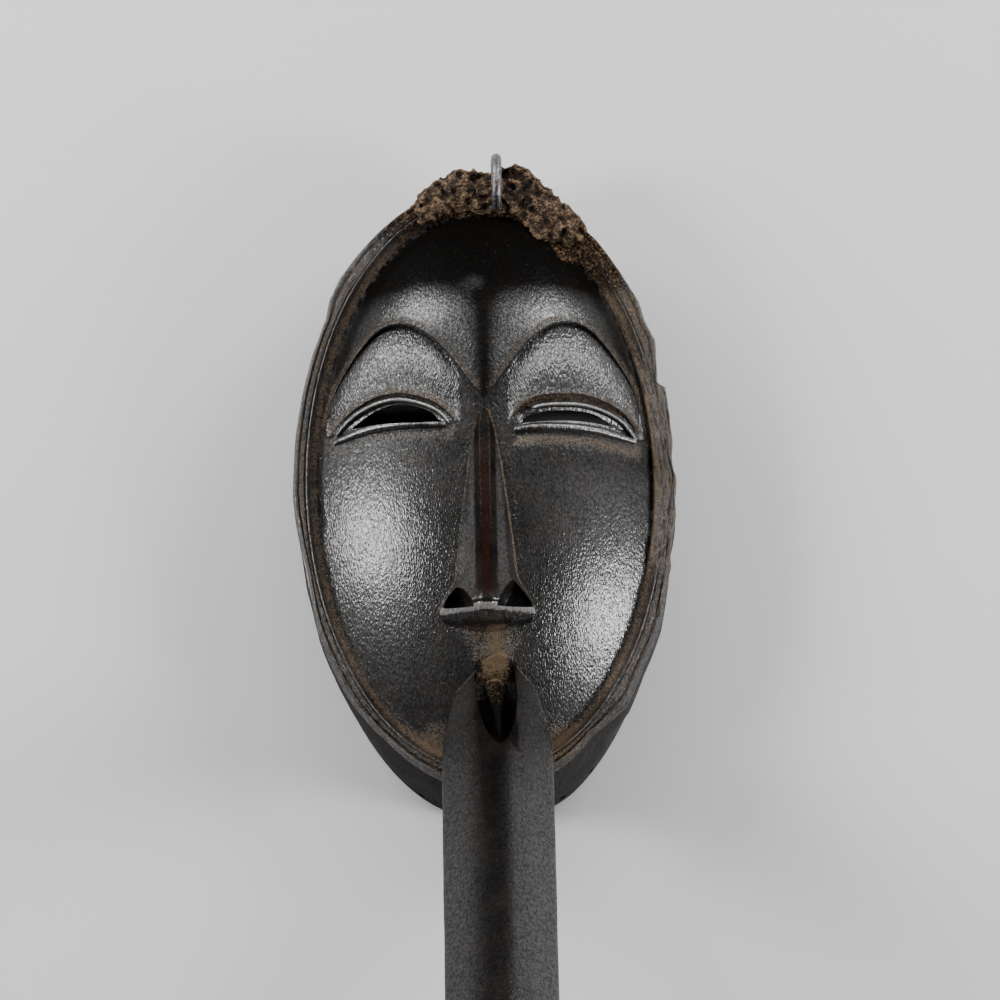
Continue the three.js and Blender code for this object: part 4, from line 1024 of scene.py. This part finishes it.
# The crown crust. A dried mass of fibre, earth and resin that once held a wig or horns, clotted over
# the top of the rim and crumbling away in pits, into which black is painted as shade.
CRUST_VOXEL, CRUST_FINE_VOXEL = 0.0009, 0.00062
# Pits crumbled out of the crust: x, y and height of each, its radius and its depth. Shade is painted round
# each.
CRUST_PITS = [
    (0.6, 120.5, 44, 2.6, 6), (0.2, 116, 46, 2.2, 5), (3.4, 126, 42, 2.4, 4), (12.6, 125.5, 43, 2.6, 4),
    (11.2, 114.8, 47, 2.6, 4.5), (17.7, 118.5, 45, 1.8, 3.5), (20.4, 121, 42, 1.8, 3.5),
    (18.7, 111, 46, 2, 3.5), (-19, 117.5, 42, 2.4, 2.5), (-11.8, 116, 46, 1.6, 2.2),
    (26.5, 108.5, 45, 1.9, 3), (33, 98, 45, 1.7, 2.6),
]
crust = add("crust_mass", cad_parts["crown_crust"].data.copy())
pick(crust)
turn_faces_outwards(merge=0.00001)
apply(crust, "REMESH", mode="VOXEL", voxel_size=CRUST_VOXEL)
apply(crust, "SMOOTH", iterations=6, factor=0.5)
pits = [(Vector(middle), size, depth) for *middle, size, depth in CRUST_PITS]
for vertex in crust.data.vertices:
    at = vertex.co * 1000 - Vector(FACE_SHIFT) * 1000
    clot = 1 - abs(noise.noise(at / 7.5)) * 2.2
    crumb = 1 - abs(noise.noise(at / 3.1 + Vector((9, 9, 9)))) * 2.2
    grit = noise.noise(at / 1.3)
    void = max(noise.noise(at / 4.2 + Vector((31, 7, 3))) - 0.12, 0)
    pit_depth = sum(depth * math.exp(-((at - middle).length / size) ** 2) for middle, size, depth in pits)
    rise = 1.3 * clot + 1.15 * crumb + 0.55 * grit - 6 * void - 1.2 - pit_depth
    vertex.co += vertex.normal * rise / 1000
apply(crust, "REMESH", mode="VOXEL", voxel_size=CRUST_FINE_VOXEL)
bpy.ops.object.shade_smooth()

# How far each point stands over its surroundings, which are the points evened out with their neighbours, and
# the way round the rim, along which the fibres lie. The first, lowered round the pits, paints shade black
# into hollows and adds painted highlight as tan on the tops.
places = places_of(crust)
normals = np.zeros(places.size)
crust.data.vertices.foreach_get("normal", normals)
edges = np.zeros(len(crust.data.edges) * 2, dtype=np.int32)
crust.data.edges.foreach_get("vertices", edges)
edges = edges.reshape(-1, 2)
evened, neighbours = places.copy(), np.bincount(edges.ravel(), minlength=len(places))[:, None]
for _ in range(14):
    gathered = np.zeros_like(evened)
    np.add.at(gathered, edges[:, 0], evened[edges[:, 1]])
    np.add.at(gathered, edges[:, 1], evened[edges[:, 0]])
    evened = gathered / neighbours
height = ((places - evened) * normals.reshape(-1, 3)).sum(axis=1)
shaded = sum(
    band(np.linalg.norm(places - middle, axis=1), 0, 1.25 * size) for *middle, size, _ in CRUST_PITS
)
store(crust, "height", np.clip(0.5 + height / 1.4, 0, 1) - 0.9 * np.clip(shaded, 0, 1))
x, y, z = places.T
around_rim = np.arctan2(y / RIM_HALF_LENGTH, x / RIM_HALF_WIDTH)
store(crust, "weave", columns(around_rim * 28.5, np.hypot(x, y) * 0.95, z * 0.95))

PIT_SHADE_BLACK, BROWN_CLOT, TAN_FIBRE = (0.0012, 0.001, 0.0009, 1), (0.03, 0.018, 0.0105, 1), TAN_CRUMB
dried, tree, shader = new_paint("dried_crust")
place = node("TexCoord").outputs["Object"]
clots, grains = noise_at(place, 300, 3, 0.6), noise_at(place, 1050, 3, 0.6)
fibres = noise_at(painted("weave", "Vector"), 1, 3, 0.6, 1)
# Black in hollows and round the pits is painted shade. Tan on tops is partly the fibres' colour, partly
# painted highlight.
level = plus(times(clots, 0.8), times(grains, 1.5))
level = plus(plus(level, times(fibres, 1.5)), times(painted("height"), 0.6))
crust_colour = blend(ramp(level, 1.72, 2.12), PIT_SHADE_BLACK, BROWN_CLOT)
drive("Base Color", blend(ramp(level, 2.16, 2.66), crust_colour, TAN_FIBRE))
drive("Normal", bumped(plus(grains, fibres), 1, 0.0007))
shader.inputs["Roughness"].default_value = 0.92
shader.inputs["Specular IOR Level"].default_value = 0.2
crust.data.materials.clear()
crust.data.materials.append(dried)
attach(crust, "root")
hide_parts("crown_crust")
